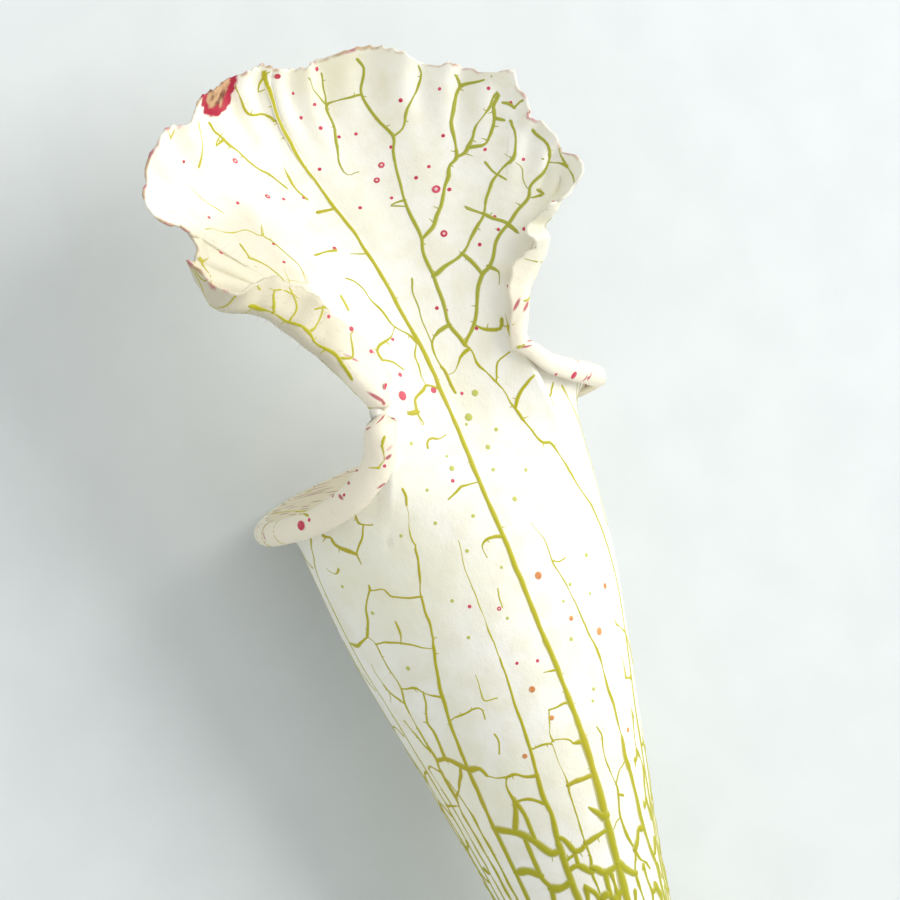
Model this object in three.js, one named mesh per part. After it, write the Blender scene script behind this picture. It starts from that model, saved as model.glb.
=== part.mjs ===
// One leaf of a white pitcher plant, cut at its narrow base and laid down with its back upwards.
// The leaf is a single body: a tapering hollow tube with a wing along its front, a rolled lip
// round the mouth, a short column behind the mouth, and a ruffled hood that grows out of it.
// Millimetres, +Z up, +X from the cut end to the hood.
//
// Leaf coordinates, used until the leaf is laid down:
//   up    along the tube, 0 at the neck under the hood
//   back  away from the mouth, the side that the midrib runs on
//   side  to the right as the leaf is seen from behind
import * as THREE from 'three';

// Wall of the leaf and the raised veins on it.
const WALL = 0.9;
const MIDRIB_HEIGHT = 0.45;
const VEIN_HEIGHT = 0.28;
const EDGE_RELIEF = 0.3;

// Tube: level, half width, depth as a share of the width, twist in degrees.
const TUBE = [
  [-315, 2.7, 1.0, 8],
  [-280, 3.2, 1.0, 8],
  [-210, 4.5, 1.0, 8],
  [-150, 6.3, 1.0, 8],
  [-110, 8.5, 1.0, 8],
  [-80, 11.1, 1.0, 8],
  [-59, 14.9, 1.0, 7.5],
  [-45.6, 17.7, 0.93, 5],
  [-35, 19.8, 0.87, 2.5],
  [-21, 21.3, 0.82, 0],
];
const BASE_LEVEL = -315;
const SHOULDER_LEVEL = -21;
const CAVITY_FLOOR = -250;
const BOW = 4;
const BOW_MIDDLE = -215;
const BOW_REACH = 95;
const SWAY = 1.4;
const SWAY_MIDDLE = -120;
const SWAY_REACH = 50;
// How far the veins spread sideways down the tube, in degrees.
const VEIN_SPREAD = [
  [-315, 35],
  [-80, 35],
  [-35, 6],
  [-21, 0],
];

// Wing along the front of the tube: level and height.
const WING = [
  [-315, 0.6],
  [-290, 1.6],
  [-200, 3.4],
  [-110, 3.2],
  [-60, 2.2],
  [-34, 0.9],
  [-21, 0.35],
];
const WING_ROOT_HALF = 0.55;
const WING_CREST_HALF = 0.38;
// What a column of the grid carries on the wing.
const WING_ROOT = 1;
const WING_CREST = 2;

// Midrib of the column and hood: level and how far back it lies.
const MIDRIB_LINE = [
  [-21, 17.4],
  [-8.5, 14],
  [2, 12],
  [10, 8.6],
  [15, 6.6],
  [20, 3.4],
  [25, -1.2],
  [31, -6.2],
  [38, -9.6],
  [45, -8],
];
// The sides of the hood bend back by SIDE_BEND at a distance of HOOD_HALF from the midrib.
const SIDE_BEND = 16.8;
const HOOD_HALF = 31.8;
const NECK_LEVEL = -2;
const NECK_HALF = 12;

// Brim of the hood: angle round the tube in degrees, level, side. The free margin lies beyond it.
const COLUMN_ANGLE = 45;
const BRIM_LEFT = [
  [0, 43, 0],
  [5, 44, -6],
  [9, 43.6, -11.5],
  [13, 42.3, -17],
  [17, 41, -23],
  [20.5, 37, -27.9],
  [23.5, 33.5, -25],
  [26.5, 29.3, -22.8],
  [30, 26, -26.5],
  [33, 22.1, -29],
  [36, 19.5, -24.5],
  [39, 16.6, -21.2],
  [41, 13, -18.9],
  [43, 8.7, -16.1],
  [45, 1.2, -12.8],
];
const BRIM_RIGHT = [
  [0, 43, 0],
  [5, 41.3, 6],
  [9, 41.4, 11.5],
  [13, 39, 16],
  [17, 36, 20.5],
  [21, 32.8, 25],
  [24, 29.2, 26],
  [27, 26.5, 24.7],
  [30, 23, 26.2],
  [33, 19, 26],
  [36, 16.2, 23.2],
  [38.5, 13.6, 20.9],
  [41, 10.3, 19.6],
  [43, 7, 15.9],
  [45, 1.4, 12.4],
];
// Lip of the mouth: angle, level and side on the left, level and side on the right, back.
const LIP = [
  [45, 1.4, 12.4, 1.4, 12, 15.7],
  [52, -3.5, 12.8, -2.6, 12.8, 15.5],
  [60, -8.5, 15.5, -5.6, 16.2, 14],
  [73, -11.5, 20, -8.3, 21.8, 9.5],
  [93, -13, 23.5, -10.9, 26, 2],
  [122, -14.5, 21.5, -13.5, 22, -12],
  [147, -15, 14.6, -15, 14.6, -21],
  [163, -15, 8.6, -15, 8.6, -23.4],
  [180, -15, 0, -15, 0, -23.4],
];
// How the edge rolls back beyond the brim: angle, roll radius, roll angle in degrees, straight end.
const ROLL_LEFT = [
  [0, 6, 20, 1.2],
  [20, 6, 20, 1.2],
  [30, 4, 30, 1.4],
  [33, 2.4, 70, 2],
  [36, 1.4, 135, 3.2],
  [39, 1.3, 150, 4.2],
  [44, 1.4, 165, 4],
  [50, 2, 215, 0.3],
  [75, 1.5, 225, 0.2],
  [110, 1.3, 205, 0.3],
  [180, 1.4, 190, 0.5],
];
const ROLL_RIGHT = [
  [0, 6, 20, 1.2],
  [20, 6, 20, 1.6],
  [31, 4, 25, 1.4],
  [34, 3, 50, 1.4],
  [37.5, 1.8, 115, 1.4],
  [40.5, 1.3, 140, 1.8],
  [44, 1.3, 160, 1.4],
  [50, 1.3, 215, 0.3],
  [75, 1.15, 225, 0.2],
  [110, 1.15, 205, 0.3],
  [180, 1.4, 190, 0.5],
];
// The hood's margin: height of its broad waves and of its crinkles, and depth of its small teeth.
const BROAD_WAVE = 0.6;
const CRINKLE = 0.8;
const TOOTH_DEPTH = 0.6;
const FAN_ANGLE = 0.96;
// The left margin is tucked in below the hood's widest part: by how much and which way.
const TUCK = 3.5;
const TUCK_UP = 0.64;
const TUCK_SIDE = 0.77;
// Notches and lobes of the free edge: angle and how much further or shorter the edge reaches.
const NOTCHES_LEFT = [
  [0, -0.5], [1.5, 0.4], [3, -0.2], [6, -0.45], [7.5, -0.5], [9, -0.1], [10.5, 0.2],
  [12.3, -1.6], [13.5, -1.2], [15, 0.1], [16.5, 1.1], [18, 0.2], [19.3, -2], [20.6, 0.5],
  [22, 0], [24, -0.6], [25.5, 0.9], [27, 0.4], [28.5, -1.1], [29.8, -1.8], [31.5, 1.7],
  [33, 0.3], [34.5, 0.6], [35.5, -0.3], [37, 0.5], [38.5, -0.4], [40, 0.5], [42, -0.3],
  [43.5, 0.3], [45, 0],
];
const NOTCHES_RIGHT = [
  [0, -0.5], [1.5, -0.8], [3, -1], [4.5, -1.1], [6, -0.5], [7.5, -0.9], [9, -0.8], [10.5, -0.4],
  [12, -0.3], [13.5, -0.7], [15, -1.6], [17, -2.1], [18, -1.3], [19.5, -1.8], [21, -1.8],
  [22.5, 1.2], [23.4, -0.2], [25.5, 0], [27, 0.1], [28, -0.7], [29, 0.2], [30, -0.5],
  [31.5, -1], [33, 1.8], [34, 0.2], [34.8, 1.2], [35.5, -0.5], [36.5, 0.4], [38, -0.4],
  [39.5, 0.5], [41, -0.3], [42.5, 0.3], [45, 0],
];

// Grid: columns run from the base to the free edge, rows run round the leaf.
const HOOD_COLUMNS = 22;
const HOOD_VEINS = [6, 12, 17];
const LIP_VEINS = [66, 94, 122, 150];
const LIP_STEPS = 3;
const LIP_VEIN_HALF = 1.8;
const TUBE_ROWS = [-315, -306, -280, -250, -210, -170, -135, -105, -80, -64, -52, -42, -34, -27.5];
const PATH_ROWS = 11;
const ROLL_ROWS = 5;
const FLAT_SPOT = 0.32;

const LEAF_COLOUR = 0xf4f2e4;

const radians = THREE.MathUtils.degToRad;

// Smooth curve through the rows of a table, read at x; the first number of a row is its place.
function readTable(table, x) {
  const last = table.length - 1;
  let i = 0;
  while (i < last - 1 && x > table[i + 1][0]) i += 1;
  const [p, q] = [table[i], table[i + 1]];
  const width = q[0] - p[0];
  const t = THREE.MathUtils.clamp((x - p[0]) / width, 0, 1);
  const before = table[Math.max(i - 1, 0)];
  const after = table[Math.min(i + 2, last)];
  return p.slice(1).map((value, k) => {
    const end = q[k + 1];
    const slopeStart = (end - before[k + 1]) / (q[0] - before[0]) * width;
    const slopeEnd = (after[k + 1] - value) / (after[0] - p[0]) * width;
    const t2 = t * t;
    const t3 = t2 * t;
    return (2 * t3 - 3 * t2 + 1) * value + (t3 - 2 * t2 + t) * slopeStart
      + (3 * t2 - 2 * t3) * end + (t3 - t2) * slopeEnd;
  });
}

// 0 at the place from, 1 at the place to, and a smooth rise between; from may be above to.
function smoothRise(x, from, to) {
  const t = THREE.MathUtils.clamp((x - from) / (to - from), 0, 1);
  return t * t * (3 - 2 * t);
}

// The tube leans a little to the left on its way down, and straightens again.
function sway(level) {
  return -SWAY * Math.exp(-(((level - SWAY_MIDDLE) / SWAY_REACH) ** 2));
}

// A point in leaf coordinates is a vector (up, back, side).
function tubePoint(angle, level) {
  const [half, share, twist] = readTable(TUBE, level);
  const [spread] = readTable(VEIN_SPREAD, level);
  const turn = radians(angle + spread * Math.sin(radians(angle)) + twist);
  const bow = BOW * Math.exp(-(((level - BOW_MIDDLE) / BOW_REACH) ** 2));
  return new THREE.Vector3(level, half * share * Math.cos(turn) + bow, half * Math.sin(turn) + sway(level));
}

// How far back the column and the hood lie, at a level and a distance to the side.
function hoodBack(level, side) {
  const [middle] = readTable(MIDRIB_LINE, level);
  const bent = middle + SIDE_BEND * (Math.abs(side) / HOOD_HALF) ** 1.5;
  const [half, share] = readTable(TUBE, SHOULDER_LEVEL);
  const round = half * share * Math.sqrt(Math.max(0, 1 - (side / half) ** 2));
  const rise = THREE.MathUtils.smoothstep(level, SHOULDER_LEVEL, NECK_LEVEL);
  const start = round + (middle - half * share);
  return THREE.MathUtils.lerp(start, bent, rise);
}

// Direction that the outer face of the hood looks in.
function hoodNormal(level, side) {
  const step = 0.2;
  const slopeUp = (hoodBack(level + step, side) - hoodBack(level - step, side)) / (2 * step);
  const slopeSide = (hoodBack(level, side + step) - hoodBack(level, side - step)) / (2 * step);
  return new THREE.Vector3(-slopeUp, 1, -slopeSide).normalize();
}

// The brim at a signed angle, left negative.
function brimPoint(angle) {
  const size = Math.abs(angle);
  const right = angle >= 0;
  if (size <= COLUMN_ANGLE) {
    const [level, side] = readTable(right ? BRIM_RIGHT : BRIM_LEFT, size);
    return new THREE.Vector3(level, hoodBack(level, side), side);
  }
  const [leftLevel, leftSide, rightLevel, rightSide, back] = readTable(LIP, size);
  return right
    ? new THREE.Vector3(rightLevel, back, rightSide)
    : new THREE.Vector3(leftLevel, back, -leftSide);
}

// A line of the leaf from the shoulder of the tube to the brim, t from 0 to 1.
function pathPoint(angle, t) {
  const start = tubePoint(angle, SHOULDER_LEVEL);
  const end = brimPoint(angle);
  const size = Math.abs(angle);
  if (size <= COLUMN_ANGLE) {
    const neckSide = NECK_HALF * (angle / COLUMN_ANGLE);
    const neck = new THREE.Vector2(NECK_LEVEL, neckSide);
    const lower = Math.max(0.25, start.clone().setY(0).distanceTo(new THREE.Vector3(neck.x, 0, neck.y)));
    const upper = Math.hypot(end.x - neck.x, end.z - neck.y);
    const bend = lower / (lower + upper);
    const curve = [
      [0, start.x, start.z],
      [bend, neck.x, neck.y],
      [1, end.x, end.z],
    ];
    let [level, side] = readTable(curve, t);
    if (t > bend) {
      const x = (t - bend) / (1 - bend);
      const tuck = TUCK * smoothRise(angle, -27, -32) * smoothRise(angle, -41, -35);
      level += 6.75 * x * x * (1 - x) * tuck * TUCK_UP;
      side += 6.75 * x * x * (1 - x) * tuck * TUCK_SIDE;
    }
    return new THREE.Vector3(level, hoodBack(level, side), side);
  }
  const ease = THREE.MathUtils.smoothstep(size, COLUMN_ANGLE, 80);
  const swell = t * t * (3 - 2 * t);
  const flare = THREE.MathUtils.lerp(swell, t ** 3, ease);
  return new THREE.Vector3(
    THREE.MathUtils.lerp(start.x, end.x, t),
    THREE.MathUtils.lerp(start.y, end.y, flare),
    THREE.MathUtils.lerp(start.z, end.z, flare),
  );
}

// Broad waves of the hood, and crinkles close to its margin. The waves fan out from the neck.
function wave(angle, t) {
  const size = Math.abs(angle) / COLUMN_ANGLE;
  if (size > 1) return 0;
  const point = pathPoint(angle, t);
  const fan = Math.abs(Math.atan2(point.z, Math.max(point.x - NECK_LEVEL, 1))) / FAN_ANGLE;
  const phase = angle < 0 ? 1.9 : 0.4;
  const broad = Math.sin(2 * Math.PI * 2.7 * fan + phase) * smoothRise(t, 0.5, 1);
  const folds = Math.max(0, size - 0.65);
  const crinkle = Math.sin(2 * Math.PI * (8 * fan + 9 * folds) + phase + 1.2 * Math.sin(9 * fan))
    * smoothRise(t, 0.78, 1) ** 1.5;
  return BROAD_WAVE * broad * smoothRise(1 - size, 0.1, 0.45)
    + CRINKLE * crinkle * smoothRise(1 - size, 0.02, 0.14);
}

// How much further the free edge reaches at a signed angle, read straight between the rows.
function notch(angle) {
  const size = Math.abs(angle);
  const table = angle < 0 ? NOTCHES_LEFT : NOTCHES_RIGHT;
  let i = 0;
  while (i < table.length - 2 && size > table[i + 1][0]) i += 1;
  const [from, to] = [table[i], table[i + 1]];
  return THREE.MathUtils.lerp(from[1], to[1], (size - from[0]) / (to[0] - from[0]));
}

// The edge beyond the brim: it rolls towards the back of the leaf, then ends straight.
function rollPoint(column, t) {
  const { angle } = column;
  const [radius, turn, end] = readTable(angle >= 0 ? ROLL_RIGHT : ROLL_LEFT, Math.abs(angle));
  const step = 0.5;
  const brim = pathPoint(angle, 1);
  const along = pathPoint(angle + step, 1).sub(pathPoint(angle - step, 1)).normalize();
  const rise = brim.clone().sub(pathPoint(angle, 0.94));
  const facing = Math.abs(angle) <= COLUMN_ANGLE
    ? hoodNormal(brim.x, brim.z)
    : new THREE.Vector3().crossVectors(along, rise).normalize();
  const onward = new THREE.Vector3().crossVectors(facing, along).normalize();
  const outward = new THREE.Vector3().crossVectors(along, onward).normalize();
  const full = radians(turn);
  const arc = radius * full;
  const onHood = Math.abs(angle) < COLUMN_ANGLE - 1;
  const reach = t * (arc + end + (onHood ? column.tooth + notch(angle) : 0));
  const bend = Math.min(reach / radius, full);
  const rest = Math.max(0, reach - arc);
  const point = brim.clone()
    .addScaledVector(onward, radius * Math.sin(bend) + rest * Math.cos(bend))
    .addScaledVector(outward, radius * (1 - Math.cos(bend)) + rest * Math.sin(bend));
  point.y += wave(angle, 1);
  return point;
}

// The columns: signed angle, height of the vein on it, and the tooth at its end.
function makeColumns() {
  const plain = { vein: 0, tooth: 0, wing: 0 };
  const right = [];
  for (let i = 1; i <= HOOD_COLUMNS; i += 1) {
    const vein = HOOD_VEINS.includes(i) ? VEIN_HEIGHT : 0;
    const tooth = i % 2 === 0 ? TOOTH_DEPTH : 0;
    right.push({ ...plain, angle: COLUMN_ANGLE * i / HOOD_COLUMNS, vein, tooth });
  }
  let from = COLUMN_ANGLE;
  for (const vein of [...LIP_VEINS, 180]) {
    const until = vein - LIP_VEIN_HALF;
    for (let i = 1; i < LIP_STEPS; i += 1) {
      right.push({ ...plain, angle: THREE.MathUtils.lerp(from, until, i / LIP_STEPS) });
    }
    if (vein < 180) {
      right.push({ ...plain, angle: until });
      right.push({ ...plain, angle: vein, vein: VEIN_HEIGHT });
      right.push({ ...plain, angle: vein + LIP_VEIN_HALF });
    }
    from = vein + LIP_VEIN_HALF;
  }
  right.push({ ...plain, angle: 180 - 2.2, wing: WING_ROOT });
  right.push({ ...plain, angle: 180 - 1.4, wing: WING_CREST });
  const left = right.map((column) => ({ ...column, angle: -column.angle })).reverse();
  return [{ ...plain, angle: 0, vein: MIDRIB_HEIGHT, tooth: TOOTH_DEPTH }, ...right, ...left];
}

// Middle surface of the wall: rows of points, from the base to the free edge.
function middleSurface(columns) {
  const rows = TUBE_ROWS.map((level) => columns.map(({ angle }) => tubePoint(angle, level)));
  for (let i = 0; i <= PATH_ROWS; i += 1) {
    const t = i / PATH_ROWS;
    rows.push(columns.map(({ angle }) => {
      const point = pathPoint(angle, t);
      point.y += wave(angle, t);
      return point;
    }));
  }
  for (let i = 1; i <= ROLL_ROWS; i += 1) {
    rows.push(columns.map((column) => rollPoint(column, i / ROLL_ROWS)));
  }
  return rows;
}

function surfaceNormals(rows) {
  const count = rows[0].length;
  return rows.map((row, i) => row.map((point, j) => {
    const round = row[(j + 1) % count].clone().sub(row[(j + count - 1) % count]);
    const next = rows[Math.min(i + 1, rows.length - 1)][j];
    const before = rows[Math.max(i - 1, 0)][j];
    return new THREE.Vector3().crossVectors(round, next.clone().sub(before)).normalize();
  }));
}

// Height of a vein over the outer face; it falls towards the edge.
function relief(column, row) {
  const edge = THREE.MathUtils.clamp((row - TUBE_ROWS.length) / PATH_ROWS, 0, 1);
  return column.vein * THREE.MathUtils.lerp(1, EDGE_RELIEF, edge);
}

// A corner of the wing's section on the front of the tube: at its root or on its crest.
function wingPoint(column, level) {
  const front = tubePoint(180, level);
  const middle = tubePoint(0, level).add(front).multiplyScalar(0.5);
  const out = front.clone().sub(middle).normalize();
  const across = new THREE.Vector3(0, -out.z, out.y).multiplyScalar(Math.sign(column.angle));
  const [height] = readTable(WING, level);
  const crest = column.wing === WING_CREST;
  return front
    .addScaledVector(out, WALL / 2 + (crest ? height : 0))
    .addScaledVector(across, crest ? WING_CREST_HALF : WING_ROOT_HALF);
}

function makeLeaf() {
  const columns = makeColumns();
  const rows = middleSurface(columns);
  const normals = surfaceNormals(rows);
  const count = columns.length;
  const positions = [];
  const faces = [];
  const addPoint = (point) => positions.push(point) - 1;

  const outer = rows.map((row, i) => row.map((point, j) => {
    const column = columns[j];
    if (column.wing && i < TUBE_ROWS.length) return addPoint(wingPoint(column, point.x));
    return addPoint(point.clone().addScaledVector(normals[i][j], WALL / 2 + relief(column, i)));
  }));
  const cavityRow = TUBE_ROWS.indexOf(CAVITY_FLOOR);
  const inner = rows.slice(cavityRow).map((row, i) => row.map((point, j) => {
    return addPoint(point.clone().addScaledVector(normals[i + cavityRow][j], -WALL / 2));
  }));

  const sheet = (grid, flip) => {
    for (let i = 0; i + 1 < grid.length; i += 1) {
      for (let j = 0; j < count; j += 1) {
        const k = (j + 1) % count;
        const [a, b, c, d] = [grid[i][j], grid[i][k], grid[i + 1][k], grid[i + 1][j]];
        faces.push(flip ? [a, c, b] : [a, b, c], flip ? [a, d, c] : [a, c, d]);
      }
    }
  };
  const fan = (ring, tip, flip) => {
    for (let j = 0; j < count; j += 1) {
      const k = (j + 1) % count;
      faces.push(flip ? [tip, ring[j], ring[k]] : [tip, ring[k], ring[j]]);
    }
  };
  sheet(outer, false);
  sheet(inner, true);
  sheet([outer[outer.length - 1], inner[inner.length - 1]], false);
  const middle = (ring) => ring.reduce((sum, i) => sum.add(positions[i]), new THREE.Vector3())
    .divideScalar(ring.length);
  fan(outer[0], addPoint(middle(outer[0])), false);
  const floorPoint = middle(inner[0]);
  floorPoint.x -= 4;
  fan(inner[0], addPoint(floorPoint), true);
  return { positions, faces };
}

// Leaf coordinates to the model's: laid on its front, pitched so that lip and base both touch.
function layDown(positions) {
  const turned = (point, pitch) => new THREE.Vector3(
    point.x * Math.cos(pitch) - point.y * Math.sin(pitch),
    -point.z,
    point.x * Math.sin(pitch) + point.y * Math.cos(pitch),
  );
  const lowest = (pitch, test) => Math.min(...positions.filter(test).map((p) => turned(p, pitch).z));
  const isBase = (point) => point.x < BASE_LEVEL / 2;
  let [low, high] = [0, 0.3];
  for (let i = 0; i < 40; i += 1) {
    const pitch = (low + high) / 2;
    const gap = lowest(pitch, (p) => !isBase(p)) - lowest(pitch, isBase);
    if (gap > 0) high = pitch;
    else low = pitch;
  }
  const placed = positions.map((point) => turned(point, (low + high) / 2));
  const floor = Math.min(...placed.map((point) => point.z)) + FLAT_SPOT;
  const box = new THREE.Box3().setFromPoints(placed);
  const centre = box.getCenter(new THREE.Vector3());
  return placed.map((p) => new THREE.Vector3(p.x - centre.x, p.y - centre.y, Math.max(0, p.z - floor)));
}

function toGeometry({ positions, faces }) {
  const geometry = new THREE.BufferGeometry();
  const flat = layDown(positions).flatMap((point) => point.toArray());
  geometry.setAttribute('position', new THREE.Float32BufferAttribute(flat, 3));
  geometry.setIndex(faces.flat());
  return geometry;
}

const leafMaterial = new THREE.MeshStandardMaterial({ color: LEAF_COLOUR, roughness: 0.45, metalness: 0 });
const leaf = new THREE.Mesh(toGeometry(makeLeaf()), leafMaterial);
leaf.name = 'pitcher_leaf';

const object = new THREE.Group();
object.add(leaf);
export default object;
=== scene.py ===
import math

import bpy
import numpy as np
from mathutils import Matrix, Vector, geometry
from mathutils.bvhtree import BVHTree


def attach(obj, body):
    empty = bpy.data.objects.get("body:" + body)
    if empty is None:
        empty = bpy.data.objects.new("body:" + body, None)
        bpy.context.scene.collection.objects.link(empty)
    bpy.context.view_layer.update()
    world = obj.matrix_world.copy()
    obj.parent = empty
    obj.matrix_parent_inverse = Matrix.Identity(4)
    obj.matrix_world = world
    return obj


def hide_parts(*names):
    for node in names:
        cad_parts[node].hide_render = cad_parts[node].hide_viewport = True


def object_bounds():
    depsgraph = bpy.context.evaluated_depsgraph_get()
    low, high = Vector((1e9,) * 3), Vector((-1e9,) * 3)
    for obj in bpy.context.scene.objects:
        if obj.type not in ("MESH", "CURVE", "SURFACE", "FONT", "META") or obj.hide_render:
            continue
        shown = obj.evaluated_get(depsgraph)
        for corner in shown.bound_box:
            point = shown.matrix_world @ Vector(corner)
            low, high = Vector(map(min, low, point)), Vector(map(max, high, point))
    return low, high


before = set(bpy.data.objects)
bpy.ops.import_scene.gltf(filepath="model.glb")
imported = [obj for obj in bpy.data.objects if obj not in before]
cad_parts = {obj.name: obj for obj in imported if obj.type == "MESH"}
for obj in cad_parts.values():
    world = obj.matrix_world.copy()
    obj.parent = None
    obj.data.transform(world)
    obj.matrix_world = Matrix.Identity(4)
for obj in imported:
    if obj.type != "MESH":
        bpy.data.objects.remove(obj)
cad_box = [list(corner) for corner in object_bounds()]


# The pitcher leaf. One leaf, grown as a tapering hollow tube with a wing along its front,
# a rolled lip round the mouth, a short column and a ruffled hood. It is cut at its narrow
# base and laid on its front, so the midrib is upwards. Sizes are in millimetres.

# A point of the leaf is (up, back, side): up along the tube from the neck under the hood,
# back away from the mouth, and side to the right as the leaf is seen from behind.
MM = 0.001
WALL, THIN_EDGE = 0.9, 0.35
TUBE = np.array([  # level, half width, depth as a share of the width, twist in degrees
    [-315, 2.7, 1.0, 8],
    [-280, 3.2, 1.0, 8],
    [-210, 4.5, 1.0, 8],
    [-150, 6.3, 1.0, 8],
    [-110, 8.5, 1.0, 8],
    [-80, 11.1, 1.0, 8],
    [-59, 14.9, 1.0, 7.5],
    [-45.6, 17.7, 0.93, 5],
    [-35, 19.8, 0.87, 2.5],
    [-21, 21.3, 0.82, 0],
])
BASE_LEVEL, SHOULDER_LEVEL, CAVITY_FLOOR = -315, -21, -250
BOW, BOW_MIDDLE, BOW_REACH = 4, -215, 95
SWAY, SWAY_MIDDLE, SWAY_REACH = 1.4, -120, 50
VEIN_SPREAD = np.array([[-315, 35], [-80, 35], [-35, 6], [-21, 0]])
WING = np.array([  # level, height
    [-315, 0.6], [-290, 1.6], [-200, 3.4], [-110, 3.2], [-60, 2.2], [-34, 0.9], [-21, 0.35],
])
MIDRIB_LINE = np.array([  # level, how far back the middle of the column and hood lies
    [-21, 17.4], [-8.5, 14], [2, 12], [10, 8.6], [15, 6.6],
    [20, 3.4], [25, -1.2], [31, -6.2], [38, -9.6], [45, -8],
])
SIDE_BEND, HOOD_HALF = 16.8, 31.8
NECK_LEVEL, NECK_HALF = -2, 12
COLUMN_ANGLE = 45
BRIM_LEFT = np.array([  # angle round the tube, level, side
    [0, 43, 0], [5, 44, -6], [9, 43.6, -11.5], [13, 42.3, -17], [17, 41, -23],
    [20.5, 37, -27.9], [23.5, 33.5, -25], [26.5, 29.3, -22.8], [30, 26, -26.5],
    [33, 22.1, -29], [36, 19.5, -24.5], [39, 16.6, -21.2], [41, 13, -18.9], [43, 8.7, -16.1],
    [45, 1.2, -12.8],
])
BRIM_RIGHT = np.array([
    [0, 43, 0], [5, 41.3, 6], [9, 41.4, 11.5], [13, 39, 16], [17, 36, 20.5],
    [21, 32.8, 25], [24, 29.2, 26], [27, 26.5, 24.7], [30, 23, 26.2],
    [33, 19, 26], [36, 16.2, 23.2], [38.5, 13.6, 20.9], [41, 10.3, 19.6], [43, 7, 15.9],
    [45, 1.4, 12.4],
])
LIP = np.array([  # angle, level and side on the left, level and side on the right, back
    [45, 1.4, 12.4, 1.4, 12, 15.7],
    [52, -3.5, 12.8, -2.6, 12.8, 15.5],
    [60, -8.5, 15.5, -5.6, 16.2, 14],
    [73, -11.5, 20, -8.3, 21.8, 9.5],
    [93, -13, 23.5, -10.9, 26, 2],
    [122, -14.5, 21.5, -13.5, 22, -12],
    [147, -15, 14.6, -15, 14.6, -21],
    [163, -15, 8.6, -15, 8.6, -23.4],
    [180, -15, 0, -15, 0, -23.4],
])
ROLL_LEFT = np.array([  # angle, roll radius, roll angle in degrees, straight end
    [0, 6, 20, 1.2], [20, 6, 20, 1.2], [30, 4, 30, 1.4], [33, 2.4, 70, 2], [36, 1.4, 135, 3.2],
    [39, 1.3, 150, 4.2], [44, 1.4, 165, 4], [50, 2, 215, 0.3], [75, 1.5, 225, 0.2],
    [110, 1.3, 205, 0.3], [180, 1.4, 190, 0.5],
])
ROLL_RIGHT = np.array([
    [0, 6, 20, 1.2], [20, 6, 20, 1.6], [31, 4, 25, 1.4], [34, 2.8, 48, 1.3], [37.5, 1.2, 125, 1.5],
    [39, 0.8, 140, 2.3], [40.5, 1.0, 130, 1.4], [42, 0.65, 150, 2.1], [44, 1.0, 165, 1.4],
    [50, 1.3, 215, 0.3], [75, 1.15, 225, 0.2], [110, 1.15, 205, 0.3], [180, 1.4, 190, 0.5],
])
FAN_ANGLE = 0.96  # radians from the midrib to the hood's lowest margin, seen from the neck
BROAD_WAVE, BROAD_WAVES = 0.6, 2.7  # height, and how many there are on a side
CRINKLE, CRINKLES, FOLD_CRINKLES = 0.6, 8, 9
WAVE_STARTS = 1.9, 0.4  # phase of the waves on the left and on the right
FOLDS_FROM, CRINKLES_FROM = 0.65, 0.78  # shares of the way round the hood, and up to its brim
TUCK, TUCK_WAY = 3.5, np.array([0.64, 0.77])  # how far the left fold is pulled out, and which way
NOTCHES_LEFT = np.array([  # angle, how much further or shorter the free edge reaches, in mm
    [0, -0.5], [1.5, 0.4], [3, -0.2], [6, -0.45], [7.5, -0.5], [9, -0.1], [10.5, 0.2],
    [12.3, -1.6], [13.5, -1.2], [15, 0], [16.5, 0.8], [18, 0], [19.3, -2], [20.6, 0.5], [22, 0],
    [24, -0.6], [25.5, 0.9], [27, 0.4], [28.5, -1.1], [29.8, -1.8], [31.5, 1.7], [33, 0.3],
    [34.5, 0.6], [35.5, -0.3], [37, 0.5], [38.5, -0.4], [40, 0.5], [42, -0.3], [43.5, 0.3], [45, 0],
])
NOTCHES_RIGHT = np.array([
    [0, -0.5], [1.5, -0.8], [3, -1], [4.5, -1.1], [6, -0.5], [7.5, -0.9], [9, -0.8],
    [10.5, -0.4], [12, -0.3], [13.5, -0.7], [15, -1.6], [17, -2.1], [18, -1.3], [19.5, -1.8],
    [21, -1.8], [22.5, 1.2], [23.4, -0.2], [25.5, 0], [27, 0.1], [28, -0.7], [29, 0.2], [30, -0.5],
    [31.5, -1], [33, 1.4], [34, 0.2], [34.8, 1.2], [35.5, -0.5], [36.5, 0.4], [38, -0.4], [39.5, 0.5],
    [41, -0.3], [42.5, 0.3], [45, 0],
])
TOOTH_DEPTH, LEAST_TOOTH, TEETH_PER_SIDE = 0.65, 0.1, 44  # the least is a share of the depth
WING_ROOT_HALF, WING_CREST_HALF = 0.55, 0.38
PITCH = math.radians(4.47)  # how steeply the leaf lies, from its cut end up to the hood
NECK_PLACE = (133.480, -0.718, 26.666)  # where its neck is in the frame


def smoothstep(x, low, high):
    """0 below low, 1 above high, and a smooth rise between."""
    t = np.clip((x - low) / (high - low), 0, 1)
    return t * t * (3 - 2 * t)


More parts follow.
